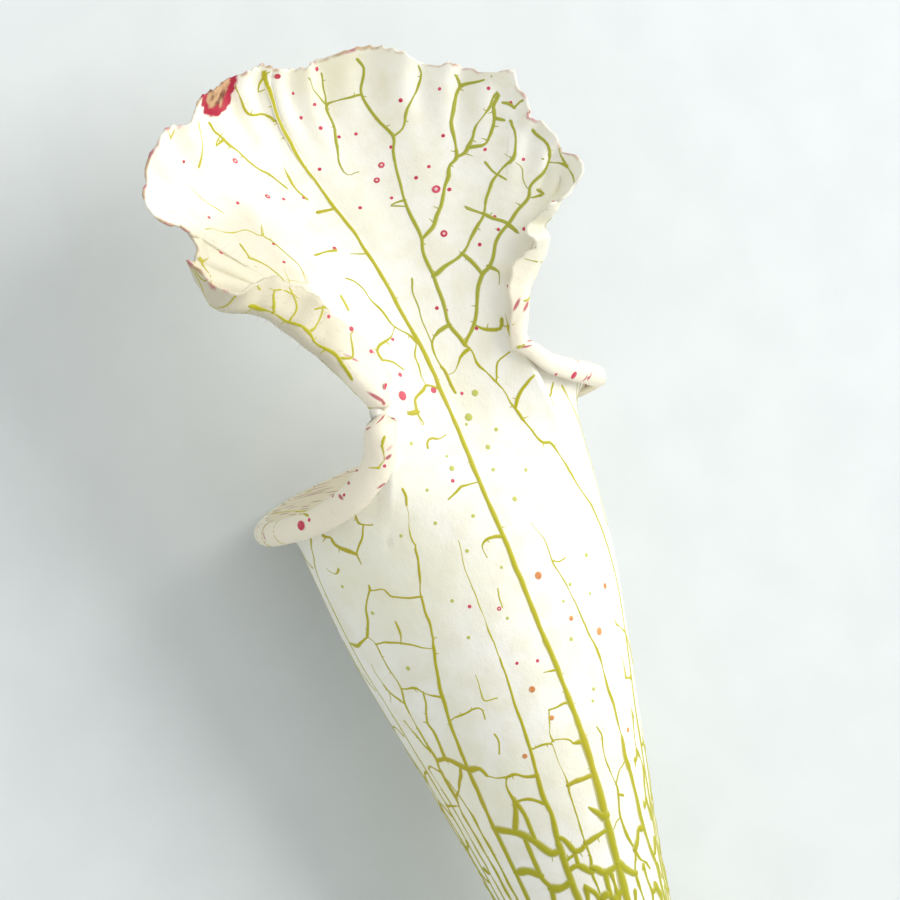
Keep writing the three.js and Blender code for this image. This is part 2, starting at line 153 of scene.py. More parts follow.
def read_table(table, x):
    """The smooth curve through the rows of a table, read at x; one array for each column."""
    places, values = table[:, 0], table[:, 1:]
    x = np.clip(np.asarray(x, float), places[0], places[-1])
    i = np.clip(np.searchsorted(places, x) - 1, 0, len(places) - 2)
    before, after = np.maximum(i - 1, 0), np.minimum(i + 2, len(places) - 1)
    width = places[i + 1] - places[i]
    t = ((x - places[i]) / width)[..., None]
    slope_a = (values[i + 1] - values[before]) * (width / (places[i + 1] - places[before]))[..., None]
    slope_b = (values[after] - values[i]) * (width / (places[after] - places[i]))[..., None]
    curve = (
        (2 * t**3 - 3 * t**2 + 1) * values[i]
        + (t**3 - 2 * t**2 + t) * slope_a
        + (3 * t**2 - 2 * t**3) * values[i + 1]
        + (t**3 - t**2) * slope_b
    )
    return np.moveaxis(curve, -1, 0)


def tube_point(angle, level):
    """A point of the tube's middle surface; angle is in degrees from the midrib."""
    angle, level = np.broadcast_arrays(np.asarray(angle, float), np.asarray(level, float))
    half, share, twist = read_table(TUBE, level)
    spread, = read_table(VEIN_SPREAD, level)
    turn = np.radians(angle + spread * np.sin(np.radians(angle)) + twist)
    bow = BOW * np.exp(-(((level - BOW_MIDDLE) / BOW_REACH) ** 2))
    sway = -SWAY * np.exp(-(((level - SWAY_MIDDLE) / SWAY_REACH) ** 2))
    return np.stack([level, half * share * np.cos(turn) + bow, half * np.sin(turn) + sway], -1)


def hood_back(level, side):
    """How far back the column and the hood lie."""
    middle, = read_table(MIDRIB_LINE, level)
    bent = middle + SIDE_BEND * (np.abs(side) / HOOD_HALF) ** 1.5
    half, share, _ = read_table(TUBE, SHOULDER_LEVEL)
    round_back = half * share * np.sqrt(np.maximum(0, 1 - (side / half) ** 2))
    start = round_back + middle - half * share
    rise = smoothstep(level, SHOULDER_LEVEL, NECK_LEVEL)
    return start + (bent - start) * rise


def brim_point(angle):
    """The brim of hood and lip, where the free edge begins to roll; left angles are negative."""
    size, right = np.abs(angle), angle >= 0
    hood = np.where(right, read_table(BRIM_RIGHT, size), read_table(BRIM_LEFT, size))
    left_level, left_side, right_level, right_side, back = read_table(LIP, size)
    on_hood = size <= COLUMN_ANGLE
    level = np.where(on_hood, hood[0], np.where(right, right_level, left_level))
    side = np.where(on_hood, hood[1], np.where(right, right_side, -left_side))
    return np.stack([level, np.where(on_hood, hood_back(hood[0], hood[1]), back), side], -1)


def path_point(angle, t):
    """A line of the leaf from the shoulder of the tube, t = 0, to the brim, t = 1."""
    angle, t = np.broadcast_arrays(np.asarray(angle, float), np.asarray(t, float))
    start, end = tube_point(angle, SHOULDER_LEVEL), brim_point(angle)
    neck_side = NECK_HALF * angle / COLUMN_ANGLE
    lower = np.maximum(0.25, np.hypot(start[..., 0] - NECK_LEVEL, start[..., 2] - neck_side))
    upper = np.hypot(end[..., 0] - NECK_LEVEL, end[..., 2] - neck_side)
    bend = (lower / (lower + upper))[..., None]
    a = start[..., ::2]
    b = np.stack([np.full_like(neck_side, NECK_LEVEL), neck_side], -1)
    c = end[..., ::2]
    first = t[..., None] <= bend
    x = np.where(first, t[..., None] / bend, (t[..., None] - bend) / (1 - bend))
    p, q = np.where(first, a, b), np.where(first, b, c)
    slope_p = np.where(first, b - a, (c - a) * (1 - bend))
    slope_q = np.where(first, (c - a) * bend, c - b)
    flat = (
        (2 * x**3 - 3 * x**2 + 1) * p + (x**3 - 2 * x**2 + x) * slope_p
        + (3 * x**2 - 2 * x**3) * q + (x**3 - x**2) * slope_q
    )
    tuck = TUCK * smoothstep(angle, -27, -32) * smoothstep(angle, -41, -35)
    bump = 6.75 * x**2 * (1 - x)  # just 1 high, at two thirds of the way
    flat += np.where(first, 0, bump * tuck[..., None]) * TUCK_WAY
    hood = np.stack([flat[..., 0], hood_back(flat[..., 0], flat[..., 1]), flat[..., 1]], -1)
    ease = smoothstep(np.abs(angle), COLUMN_ANGLE, 80)
    swell = t * t * (3 - 2 * t)
    flare = (swell + (t**3 - swell) * ease)[..., None]
    lip = start + (end - start) * np.concatenate([t[..., None], flare, flare], -1)
    return np.where(np.abs(angle)[..., None] <= COLUMN_ANGLE, hood, lip)


def wave(angle, t):
    """How far the hood waves to the back: broad waves that fan out from the neck, and crinkles."""
    size = np.abs(angle) / COLUMN_ANGLE
    point = path_point(angle, t)
    fan = np.abs(np.arctan2(point[..., 2], np.maximum(point[..., 0] - NECK_LEVEL, 1))) / FAN_ANGLE
    phase = np.where(angle < 0, *WAVE_STARTS)
    broad = np.sin(2 * np.pi * BROAD_WAVES * fan + phase) * smoothstep(t, 0.5, 1)
    folds = np.maximum(0, size - FOLDS_FROM)
    turns = 2 * np.pi * (CRINKLES * fan + FOLD_CRINKLES * folds)
    crinkle = np.sin(turns + phase + 1.2 * np.sin(9 * fan))
    crinkle = crinkle * smoothstep(t, CRINKLES_FROM, 1) ** 1.5
    broad = BROAD_WAVE * broad * smoothstep(1 - size, 0.1, 0.45)
    return np.where(size <= 1, broad + CRINKLE * crinkle * smoothstep(1 - size, 0.02, 0.14), 0)


def unit(vectors):
    """The vectors, each made one long."""
    return vectors / np.maximum(np.linalg.norm(vectors, axis=-1, keepdims=True), 1e-9)


def tooth_length(angle):
    """Length of the notches and of the small teeth, which are uneven, on the hood's free edge."""
    size = np.abs(angle)
    notch = np.where(angle < 0, np.interp(size, *NOTCHES_LEFT.T), np.interp(size, *NOTCHES_RIGHT.T))
    number = np.floor(size / COLUMN_ANGLE * TEETH_PER_SIDE)
    luck = np.abs(np.sin((number + 40 * (angle < 0)) * 12.9898))  # the same at each run
    height = LEAST_TOOTH + (1 - LEAST_TOOTH) * luck
    point = 1 - np.abs(2 * (size / COLUMN_ANGLE * TEETH_PER_SIDE - number) - 1)
    return np.where(size < COLUMN_ANGLE - 1, notch + TOOTH_DEPTH * height * point, 0)


def roll_point(angle, t):
    """The free edge beyond the brim: it rolls towards the back of the leaf, then ends straight."""
    angle, t = np.broadcast_arrays(np.asarray(angle, float), np.asarray(t, float))
    size = np.abs(angle)
    radius, turn, end = np.where(angle >= 0, read_table(ROLL_RIGHT, size), read_table(ROLL_LEFT, size))
    brim = path_point(angle, 1)
    along = unit(path_point(angle + 0.5, 1) - path_point(angle - 0.5, 1))
    rise = brim - path_point(angle, 0.94)
    step = 0.2  # millimetres to either side, for the slopes
    level, side = brim[..., 0], brim[..., 2]
    slope_up = (hood_back(level + step, side) - hood_back(level - step, side)) / (2 * step)
    slope_side = (hood_back(level, side + step) - hood_back(level, side - step)) / (2 * step)
    hood_face = unit(np.stack([-slope_up, np.ones_like(level), -slope_side], -1))
    lip_face = unit(np.cross(along, rise))
    facing = np.where((size <= COLUMN_ANGLE)[..., None], hood_face, lip_face)
    onward = unit(np.cross(facing, along))
    outward = unit(np.cross(along, onward))
    full = np.radians(turn)
    arc = radius * full
    reach = t * (arc + end + tooth_length(angle))
    bend = np.minimum(reach / radius, full)
    rest = np.maximum(0, reach - arc)
    forward = (radius * np.sin(bend) + rest * np.cos(bend))[..., None]
    sideways = (radius * (1 - np.cos(bend)) + rest * np.sin(bend))[..., None]
    point = brim + forward * onward + sideways * outward
    point[..., 1] += wave(angle, 1)
    return point


def lay_down(points):
    """From leaf coordinates in millimetres to the frame in metres. What would sink into the floor
    is pressed flat on it, as under the front of the lip, on which the leaf rests."""
    up, back, side = np.moveaxis(points, -1, 0)
    x = up * math.cos(PITCH) - back * math.sin(PITCH) + NECK_PLACE[0]
    z = up * math.sin(PITCH) + back * math.cos(PITCH) + NECK_PLACE[2]
    return np.stack([x, NECK_PLACE[1] - side, np.maximum(z, 0)], -1) * MM


def turn_down(directions):
    """The same turn for directions."""
    up, back, side = np.moveaxis(directions, -1, 0)
    x = up * math.cos(PITCH) - back * math.sin(PITCH)
    return np.stack([x, -side, up * math.sin(PITCH) + back * math.cos(PITCH)], -1)


# The grid of the leaf: columns run from the cut end up to the free edge, rows run round it.
HOOD_STEPS, LIP_STEPS = 130, 48
WING_ROOT_ANGLE, WING_CREST_ANGLE = 177.8, 178.6
hood_angles = np.linspace(0, COLUMN_ANGLE, HOOD_STEPS + 1)[1:]
lip_angles = np.linspace(COLUMN_ANGLE, 177, LIP_STEPS + 1)[1:]
right_angles = np.concatenate([hood_angles, lip_angles, [WING_ROOT_ANGLE, WING_CREST_ANGLE]])
angles = np.concatenate([-right_angles[::-1], [0], right_angles])
tube_levels = np.concatenate([
    np.linspace(BASE_LEVEL, CAVITY_FLOOR, 13)[:-1],
    np.linspace(CAVITY_FLOOR, -100, 27)[:-1],
    np.linspace(-100, SHOULDER_LEVEL, 35)[:-1],
])
path_steps = np.linspace(0, 1, 42)
roll_steps = np.linspace(0, 1, 12)[1:]
tube_rows, path_rows, roll_rows = len(tube_levels), len(path_steps), len(roll_steps)
column_angle, tube_level = np.meshgrid(angles, tube_levels)
path_angle, path_step = np.meshgrid(angles, path_steps)
roll_angle, roll_step = np.meshgrid(angles, roll_steps)
middle = np.concatenate([
    tube_point(column_angle, tube_level),
    path_point(path_angle, path_step),
    roll_point(roll_angle, roll_step),
])
middle[tube_rows:tube_rows + path_rows, :, 1] += wave(path_angle, path_step)
round_leaf = np.roll(middle, -1, axis=1) - np.roll(middle, 1, axis=1)
normals = unit(np.cross(round_leaf, np.gradient(middle, axis=0)))
edge_share = np.concatenate([
    np.zeros_like(column_angle), smoothstep(path_step, 0.55, 1) * 0.6, 0.6 + 0.4 * roll_step])
on_hood = 1 - smoothstep(np.abs(angles), COLUMN_ANGLE - 2, COLUMN_ANGLE + 8)
half_wall = WALL / 2 + (THIN_EDGE - WALL) / 2 * edge_share * on_hood
outer = middle + normals * half_wall[..., None]
inner = middle - normals * half_wall[..., None]

# The wing's section has its root and its crest in the last two columns of each side.
front = tube_point(180, tube_levels)
front_out = unit(front - tube_point(0, tube_levels))
front_across = np.stack([0 * tube_levels, -front_out[:, 2], front_out[:, 1]], -1)
wing_height, = read_table(WING, tube_levels)
for column, angle in enumerate(angles):
    if abs(angle) >= WING_ROOT_ANGLE:
        is_crest = abs(angle) >= WING_CREST_ANGLE
        lift = WALL / 2 + is_crest * wing_height
        half = (WING_CREST_HALF if is_crest else WING_ROOT_HALF) * np.sign(-angle)
        outer[:tube_rows, column] = front + front_out * lift[:, None] + front_across * half

# The leaf spread flat: across is the way round the tube or the hood, along is the level, and
# the rolled edge is laid out beyond the brim. The veins are drawn on this sheet.
FLAT_RADIUS = 24
spread, = read_table(VEIN_SPREAD, tube_level)
tube_turn = np.radians(column_angle + spread * np.sin(np.radians(column_angle)))
shoulder_width = read_table(TUBE, SHOULDER_LEVEL)[0]
path_middle = middle[tube_rows:tube_rows + path_rows]
path_across = path_middle[..., 2] * FLAT_RADIUS / shoulder_width
steps = np.linalg.norm(np.diff(path_middle, axis=1), axis=-1) * FLAT_RADIUS / shoulder_width
centre = len(angles) // 2
for column in range(centre + HOOD_STEPS + 1, len(angles)):
    path_across[:, column] = path_across[:, column - 1] + steps[:, column - 1]
for column in range(centre - HOOD_STEPS - 1, -1, -1):
    path_across[:, column] = path_across[:, column + 1] - steps[:, column]
settle = smoothstep(path_step, 0, 0.5)
round_across = FLAT_RADIUS * np.radians(path_angle)
path_across = round_across + (path_across - round_across) * settle
brim_flat = np.stack([path_across[-1], path_middle[-1, :, 0]], -1)
brim_run = unit(np.gradient(brim_flat, axis=0))
brim_out = np.stack([-brim_run[:, 1], brim_run[:, 0]], -1)
size = np.abs(angles)
radius, turn, end = np.where(angles >= 0, read_table(ROLL_RIGHT, size), read_table(ROLL_LEFT, size))
roll_reach = roll_step * (radius * np.radians(turn) + end + tooth_length(angles))
flat = np.concatenate([
    np.stack([FLAT_RADIUS * tube_turn, tube_level], -1),
    np.stack([path_across, path_middle[..., 0]], -1),
    brim_flat + roll_reach[..., None] * brim_out,
])


def shown(name, data):
    """An object in the scene, at the origin."""
    thing = bpy.data.objects.new(name, data)
    bpy.context.scene.collection.objects.link(thing)
    return thing


def mesh_piece(name, points, faces=(), edges=()):
    """A shown mesh object with its place in its mesh; points are in metres."""
    mesh = bpy.data.meshes.new(name)
    mesh.from_pydata(points.reshape(-1, 3).tolist(), edges, faces)
    mesh.update()
    return shown(name, mesh)


def keep_values(mesh, name, kind, values):
    """Stores one value, or one vector, for each vertex under a name that materials can read."""
    field = "vector" if kind == "FLOAT_VECTOR" else "value"
    mesh.attributes.new(name, kind, "POINT").data.foreach_set(field, np.ravel(values))


total_rows, total_columns = flat.shape[:2]
first_hollow = int(np.argmax(tube_levels >= CAVITY_FLOOR))
outer_number = np.arange(total_rows * total_columns).reshape(total_rows, total_columns)
inner_number = outer_number[first_hollow:] - outer_number[first_hollow, 0] + outer_number.size
ends = outer_number.size + inner_number.size


def quads(numbers, flip):
    """Quads of a grid that closes on itself round the leaf."""
    here, beside = numbers, np.roll(numbers, -1, axis=1)
    corners = [here[:-1], beside[:-1], beside[1:], here[1:]]
    return np.stack(corners[::-1] if flip else corners, -1).reshape(-1, 4).tolist()


def fan(ring, tip, flip):
    """Triangles that close a ring on one point."""
    around = np.roll(ring, -1)
    pairs = zip(around, ring) if flip else zip(ring, around)
    return [(int(a), int(b), tip) for a, b in pairs]


base_centre = middle[0].mean(axis=0)
floor_centre = middle[first_hollow].mean(axis=0)
leaf_points = np.concatenate([
    outer.reshape(-1, 3), inner[first_hollow:].reshape(-1, 3), [base_centre, floor_centre],
])
rim = np.stack([outer_number[-1], inner_number[-1]])
leaf_faces = quads(outer_number, False) + quads(inner_number, True) + quads(rim, False)
leaf_faces += fan(outer_number[0], ends, True) + fan(inner_number[0], ends + 1, False)
leaf = mesh_piece("leaf", lay_down(leaf_points), leaf_faces)
for polygon in leaf.data.polygons:
    polygon.use_smooth = True

# What the material reads on the leaf: the place on the flat sheet with how far over the brim it
# is, whether it is the inner face, and how near the free edge of the roll it is.
over = np.zeros(flat.shape[:2])
over[-roll_rows:] = roll_reach
near_edge = np.zeros(flat.shape[:2])
near_edge[-roll_rows:] = roll_step
sheet = np.concatenate([flat, over[..., None], near_edge[..., None]], -1)
leaf_values = np.concatenate([
    sheet.reshape(-1, 4), sheet[first_hollow:].reshape(-1, 4),
    [sheet[0].mean(axis=0), sheet[first_hollow].mean(axis=0)],
])
is_inner = np.zeros(len(leaf_points))
is_inner[outer_number.size:ends] = 1
keep_values(leaf.data, "sheet", "FLOAT_VECTOR", leaf_values[:, :3])
keep_values(leaf.data, "near_edge", "FLOAT", leaf_values[:, 3])
keep_values(leaf.data, "inside", "FLOAT", is_inner)


def linear(code):
    """A colour written as sRGB hex, as the linear values that Blender wants."""
    channels = [int(code[i:i + 2], 16) / 255 for i in (1, 3, 5)]
    return [c / 12.92 if c <= 0.04045 else ((c + 0.055) / 1.055) ** 2.4 for c in channels] + [1]


def add_node(tree, kind, inputs=None, **settings):
    """Adds a node with its settings; an input is given a value or another node's socket."""
    node = tree.nodes.new(kind)
    for name, value in settings.items():
        setattr(node, name, value)
    for name, value in (inputs or {}).items():
        if isinstance(value, bpy.types.NodeSocket):
            tree.links.new(value, node.inputs[name])
        else:
            node.inputs[name].default_value = value
    return node


def bare_material(name):
    """A material with nothing in its node tree yet."""
    material = bpy.data.materials.new(name)
    material.use_nodes = True
    material.node_tree.nodes.clear()
    return material


def laid_over(tree, below, colour, *shares):
    """A colour laid over another as far as all its shares reach. A share is a socket, a number,
    or a smooth rise: the value, where the rise starts, where it ends, and how high it gets."""
    factor = 1.0
    for share in shares:
        if isinstance(share, tuple):
            value, start, end, height = share
            share = add_node(tree, "ShaderNodeMapRange", {
                "Value": value, "From Min": start, "From Max": end, "To Max": height},
                interpolation_type="SMOOTHSTEP").outputs["Result"]
        factor = add_node(
            tree, "ShaderNodeMath", {0: factor, 1: share}, operation="MULTIPLY").outputs[0]
    return add_node(tree, "ShaderNodeMix", {"Factor": factor, "A": below, "B": colour},
                    data_type="RGBA").outputs["Result"]


def give_surface(tree, colour, pattern, smoothest, roughest, more=None):
    """Ends a material's tree: its colour, and a roughness that rises with a pattern."""
    roughness = add_node(tree, "ShaderNodeMapRange", {
        "Value": pattern, "From Min": 0.3, "From Max": 0.7, "To Min": smoothest, "To Max": roughest},
        interpolation_type="SMOOTHSTEP").outputs["Result"]
    shader = add_node(tree, "ShaderNodeBsdfPrincipled", {
        "Base Color": colour, "Roughness": roughness, **(more or {})})
    add_node(tree, "ShaderNodeOutputMaterial", {"Surface": shader.outputs["BSDF"]})


# The tissue is fresh leaf under a waxy cuticle, which gives it a soft satin sheen. It is white
# between yellow-green veins, cream with red flecks on the lip, and green low on the tube. Sizes
# of its patterns are in millimetres. Real skin cells are finer than the grain by about ten times,
# and it is that coarse so that it shows.
MOTTLE, CLOUD, GRAIN = 3.846, 22.22, 0.4
FLECK_ROOM, SPECK_ROOM, TIP_PATCH, WITHERED_BLOT = 1.111, 0.909, 2.857, 2.0
PATCH_MIDDLE, PATCH_HALF = (-10.6, 46.6), (4.6, 3.9)
tissue = bare_material("waxy_leaf_tissue")
tree = tissue.node_tree
sheet_place = add_node(tree, "ShaderNodeAttribute", attribute_name="sheet").outputs["Vector"]
sheet_parts = add_node(tree, "ShaderNodeSeparateXYZ", {0: sheet_place}).outputs
across, along, over_brim = sheet_parts["X"], sheet_parts["Y"], sheet_parts["Z"]
inside_face = add_node(tree, "ShaderNodeAttribute", attribute_name="inside").outputs["Fac"]
edge_here = add_node(tree, "ShaderNodeAttribute", attribute_name="near_edge").outputs["Fac"]
vein_here = add_node(tree, "ShaderNodeAttribute", attribute_name="vein").outputs["Fac"]
vein_depth = add_node(tree, "ShaderNodeAttribute", attribute_name="depth").outputs["Fac"]
leaf_place = add_node(tree, "ShaderNodeTexCoord").outputs["Object"]

mottle = add_node(tree, "ShaderNodeTexNoise", {
    "Vector": leaf_place, "Scale": 1 / (MOTTLE * MM), "Detail": 3.0}).outputs["Fac"]
clouds = add_node(tree, "ShaderNodeTexNoise", {
    "Vector": leaf_place, "Scale": 1 / (CLOUD * MM), "Detail": 2.0}).outputs["Fac"]
white = laid_over(tree, linear("#F9F7EE"), linear("#F2EFDE"), (mottle, 0.35, 0.7, 1))
white = laid_over(tree, white, linear("#F1EFCF"), (clouds, 0.45, 0.75, 0.5))
white = laid_over(tree, white, linear("#EAE6D0"), inside_face, 0.6)
on_lip_roll = (over_brim, 0, 2.2, 1), (along, 9, 3, 1)
base = laid_over(tree, white, linear("#F8EED8"), *on_lip_roll, 0.75)
base = laid_over(tree, base, linear("#93A447"), (along, -78, -140, 1))

# Red flecks across the roll of the lip, about 0.5 mm wide and 1 mm long.
half_over = add_node(tree, "ShaderNodeMath", {0: over_brim, 1: 0.5}, operation="MULTIPLY").outputs[0]
fleck_place = add_node(tree, "ShaderNodeCombineXYZ", {"X": across, "Y": half_over}).outputs[0]
flecks = add_node(tree, "ShaderNodeTexVoronoi", {"Vector": fleck_place, "Scale": 1 / FLECK_ROOM},
                  voronoi_dimensions="2D").outputs
fleck_luck = add_node(tree, "ShaderNodeSeparateXYZ", {0: flecks["Color"]}).outputs["X"]
base = laid_over(tree, base, linear("#B4384C"), (flecks["Distance"], 0.3, 0.14, 1),
                 (fleck_luck, 0.82, 0.86, 1), *on_lip_roll, 0.85)

# The inner face by the mouth is painted a duller grey-beige, which is painted shade inside the mouth, with
# fine dark specks about 0.4 mm across that are its own pigment.
specks = add_node(tree, "ShaderNodeTexVoronoi", {"Vector": sheet_place, "Scale": 1 / SPECK_ROOM},
                  voronoi_dimensions="2D").outputs
speck_luck = add_node(tree, "ShaderNodeSeparateXYZ", {0: specks["Color"]}).outputs["X"]
in_mouth = inside_face, (along, -24, -19, 1), (along, 4, 0, 1), (over_brim, 0.6, 0.1, 1)
base = laid_over(tree, base, linear("#D3C7AB"), *in_mouth, 0.7)
base = laid_over(tree, base, linear("#84404A"), (specks["Distance"], 0.28, 0.14, 1),
                 (speck_luck, 0.5, 0.55, 1), *in_mouth, 0.85)

# The fold low on the left of the hood shows the inner face, painted a duller grey-tan there: painted shade
# for that fold, which curls away from the light.
base = laid_over(tree, base, linear("#CFC6AC"), (across, -12, -16, 1), (over_brim, -1, 0.5, 1),
                 (along, 3, 8, 1), (along, 34, 28, 1), 0.8)

# Tips of the hood's margin: brown and pink in patches.
tip_patches = add_node(tree, "ShaderNodeTexNoise", {
    "Vector": sheet_place, "Scale": 1 / TIP_PATCH, "Detail": 2.0}).outputs["Fac"]
tip_colour = laid_over(tree, linear("#BE9A6E"), linear("#B9506A"), (mottle, 0.5, 0.6, 1))
base = laid_over(tree, base, tip_colour, (edge_here, 0.8, 1, 1), (tip_patches, 0.4, 0.6, 0.8),
                 (along, 14, 22, 1))

# The veins: pale where the net is faint, browner in places, and darker green low on the tube
# and on the right of the hood.
vein_colour = laid_over(tree, linear("#D8CE4C"), linear("#B6B00E"), vein_depth)
vein_colour = laid_over(tree, vein_colour, linear("#A0A00E"), (along, -45, -85, 0.7))
vein_colour = laid_over(tree, vein_colour, linear("#BBA228"), (clouds, 0.5, 0.8, 0.5))
vein_colour = laid_over(tree, vein_colour, linear("#9CA53C"), (along, 0, 6, 1), (across, 0.5, 2.5, 0.6))
veined = laid_over(tree, base, vein_colour, vein_here)

# The withered patch on the left of the hood's top: tan with a dark core and a crimson rim.
from_patch = add_node(tree, "ShaderNodeVectorMath", {
    0: sheet_place, 1: (*PATCH_MIDDLE, 0.0)}, operation="SUBTRACT").outputs[0]
patch_scaled = add_node(tree, "ShaderNodeVectorMath", {
    0: from_patch, 1: (1 / PATCH_HALF[0], 1 / PATCH_HALF[1], 0.0)}, operation="MULTIPLY").outputs[0]
patch_far = add_node(tree, "ShaderNodeVectorMath", {0: patch_scaled}, operation="LENGTH").outputs["Value"]
blots = add_node(tree, "ShaderNodeTexNoise", {
    "Vector": sheet_place, "Scale": 1 / WITHERED_BLOT, "Detail": 3.0}).outputs["Fac"]
patch_far = add_node(tree, "ShaderNodeMath", {0: blots, 1: 0.5, 2: patch_far},
                     operation="MULTIPLY_ADD").outputs[0]
withered = laid_over(tree, linear("#C9A27C"), linear("#6E3F28"), (blots, 0.4, 0.65, 1))
withered = laid_over(tree, withered, linear("#B0203F"), (patch_far, 0.85, 1, 1))
veined = laid_over(tree, veined, withered, (patch_far, 1.3, 1.2, 1))

grain = add_node(tree, "ShaderNodeTexNoise", {
    "Vector": leaf_place, "Scale": 1 / (GRAIN * MM), "Detail": 2.0}).outputs["Fac"]
pores = add_node(tree, "ShaderNodeBump", {
    "Height": grain, "Strength": 0.2, "Distance": 0.2 * MM}).outputs["Normal"]
dimples = add_node(tree, "ShaderNodeBump", {
    "Height": mottle, "Strength": 0.35, "Distance": 0.6 * MM, "Normal": pores}).outputs["Normal"]
give_surface(tree, veined, mottle, 0.42, 0.6, {"Specular IOR Level": 0.35, "Normal": dimples})
leaf.data.materials.append(tissue)
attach(leaf, "root")
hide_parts("pitcher_leaf")


# The veins. Strong ones run up the tube and fan out into the hood, and a net of finer ones
# joins them. They stand a little proud of both faces of the leaf. Each is a line on the flat
# sheet, put back on the leaf, and Geometry Nodes sweep a low arch along all of them.
TUBE_RIBS = [  # half width at the first and the last point in mm, then points on the sheet
    (0.62, 0.78, [(-1.5, -314), (-1.5, -90)]),
    (0.78, 0.54, [(-1.5, -90), (-1.5, -77), (-1.6, -70), (-1.7, -60), (-1.8, -50), (-1.9, -40)]),
    (0.54, 0.47, [(-1.9, -40), (-1.6, -30), (-1.3, -17), (-0.9, -8), (-0.6, 0)]),
    (0.47, 0.36, [(-0.6, 0), (-0.5, 10), (-0.5, 30)]),
    (0.36, 0.45, [(-0.5, 30), (-0.4, 41), (-0.9, 46)]),
    (0.75, 0.36, [(-29, -314), (-30, -85), (-29.5, -77), (-28.9, -62), (-28.2, -57.6),
                  (-26.7, -51), (-23.9, -42.9), (-20.1, -35.2)]),
    (0.3, 0.2, [(-20.1, -35.2), (-18.8, -32.6), (-17.7, -27.7), (-16.2, -24.2), (-14.9, -20.8)]),
    (0.12, 0.1, [(-14.9, -20.8), (-15.2, -19.8), (-15.5, -14.9)]),
    (0.15, 0.26, [(-15.5, -14.9), (-15.4, -12.5)]),
    (0.5, 0.5, [(-15, -250), (-15.2, -85), (-15.1, -77.4), (-15.3, -74), (-15.1, -68.3)]),
    (0.45, 0.22, [(-15.1, -68.3), (-14.2, -63.8), (-14.6, -61.5), (-14, -58.1), (-12.9, -53.2),
                  (-11.9, -47.1), (-10.6, -39.9)]),
    (0.15, 0.07, [(-10.6, -39.9), (-10.2, -36.1), (-9.7, -30.7), (-9.5, -26.7), (-8.3, -22.2)]),
    (0.55, 0.5, [(14.5, -314), (15, -95), (15, -82), (14.4, -77.4), (12.5, -74.7), (10.4, -70.2),
                 (9.8, -66), (8.9, -62.2)]),
    (0.62, 0.4, [(8.9, -62.2), (8.4, -60.5), (8.7, -58)]),
    (0.36, 0.22, [(8.7, -58), (8.7, -54.3), (8, -50.1), (8, -45.6), (6.8, -39.9)]),
    (0.22, 0.08, [(6.8, -39.9), (6.3, -36.5), (5.6, -33), (5.1, -30.2), (5.1, -27.4),
                  (4.4, -25.7), (3.9, -24)]),
    (0.4, 0.3, [(6, -130), (5, -85), (3.8, -77), (5.3, -73.6)]),
    (0.3, 0.15, [(5.3, -73.6), (3.8, -71.3), (2.8, -68.3), (3.6, -64.1), (3, -62.6), (2.1, -59.2),
                 (2.7, -56.2), (2.3, -54.7)]),
    (0.4, 0.36, [(-9.2, -120), (-9, -82), (-8.9, -77.4), (-9.3, -74), (-8.3, -71.7), (-8.7, -69.4)]),
    (0.22, 0.2, [(-8.7, -69.4), (-8.7, -63), (-8.3, -60)]),
    (0.12, 0.08, [(-8.3, -60), (-8.5, -57), (-8.5, -54.3)]),
    (0.5, 0.34, [(23, -250), (21.5, -95), (18.5, -80), (17.8, -68), (17.6, -60), (18, -55),
                 (20, -48), (21.5, -42), (21.8, -38), (21, -31.5), (19.2, -26)]),
    (0.27, 0.2, [(19.2, -26), (17.8, -24), (16.4, -21.2), (16.2, -18.8), (15.2, -15.3),
                 (13.9, -14.6), (12.6, -11.8), (11.3, -8.7)]),
    (0.26, 0.27, [(11.3, -8.7), (9.1, -4.2), (7.5, -1.7), (6.7, 0), (6.2, 2)]),
    (0.5, 0.4, [(-22, -110), (-22, -77), (-21.3, -74.2), (-22.4, -72.5), (-22.6, -70), (-22.6, -65.3)]),
    (0.35, 0.36, [(-35.2, -110), (-35.8, -80), (-36.3, -64), (-36.3, -60), (-35.5, -58),
                  (-35.3, -54.1), (-34.2, -51.9)]),
    (0.28, 0.2, [(-34.2, -51.9), (-34.2, -50.1), (-33.9, -45.7), (-33.1, -42.6), (-31.5, -40),
                 (-31.5, -36.5), (-31.3, -33), (-32.4, -31.7)]),
    (0.3, 0.26, [(-33.3, -110), (-33.3, -75), (-33.5, -62.8), (-33.9, -58.4), (-35.2, -54.5)]),
    (0.3, 0.26, [(-38.8, -110), (-39, -75), (-39, -63.3), (-38.8, -59.8), (-39.2, -53.2)]),
    (0.45, 0.22, [(-43, -314), (-42.5, -75), (-41.5, -60), (-40.2, -45), (-40, -32.6), (-39.9, -27.7),
                  (-39.4, -22.9), (-38.1, -20.7), (-35.3, -18.5), (-36.6, -16.1)]),
    (0.4, 0.15, [(29, -314), (28, -80), (28, -50), (30, -25)]),
]
FRONT_RIBS = [  # straight ones on the front of the tube, by where they start and where they run
    (0.45, 0.15, [(start, -314), (place, -80), (place, -50), (place + math.copysign(2, place), -22)])
    for start, place in ((39, 40), (-53, -52), (54, 53), (-65, -64), (66, 64))
]
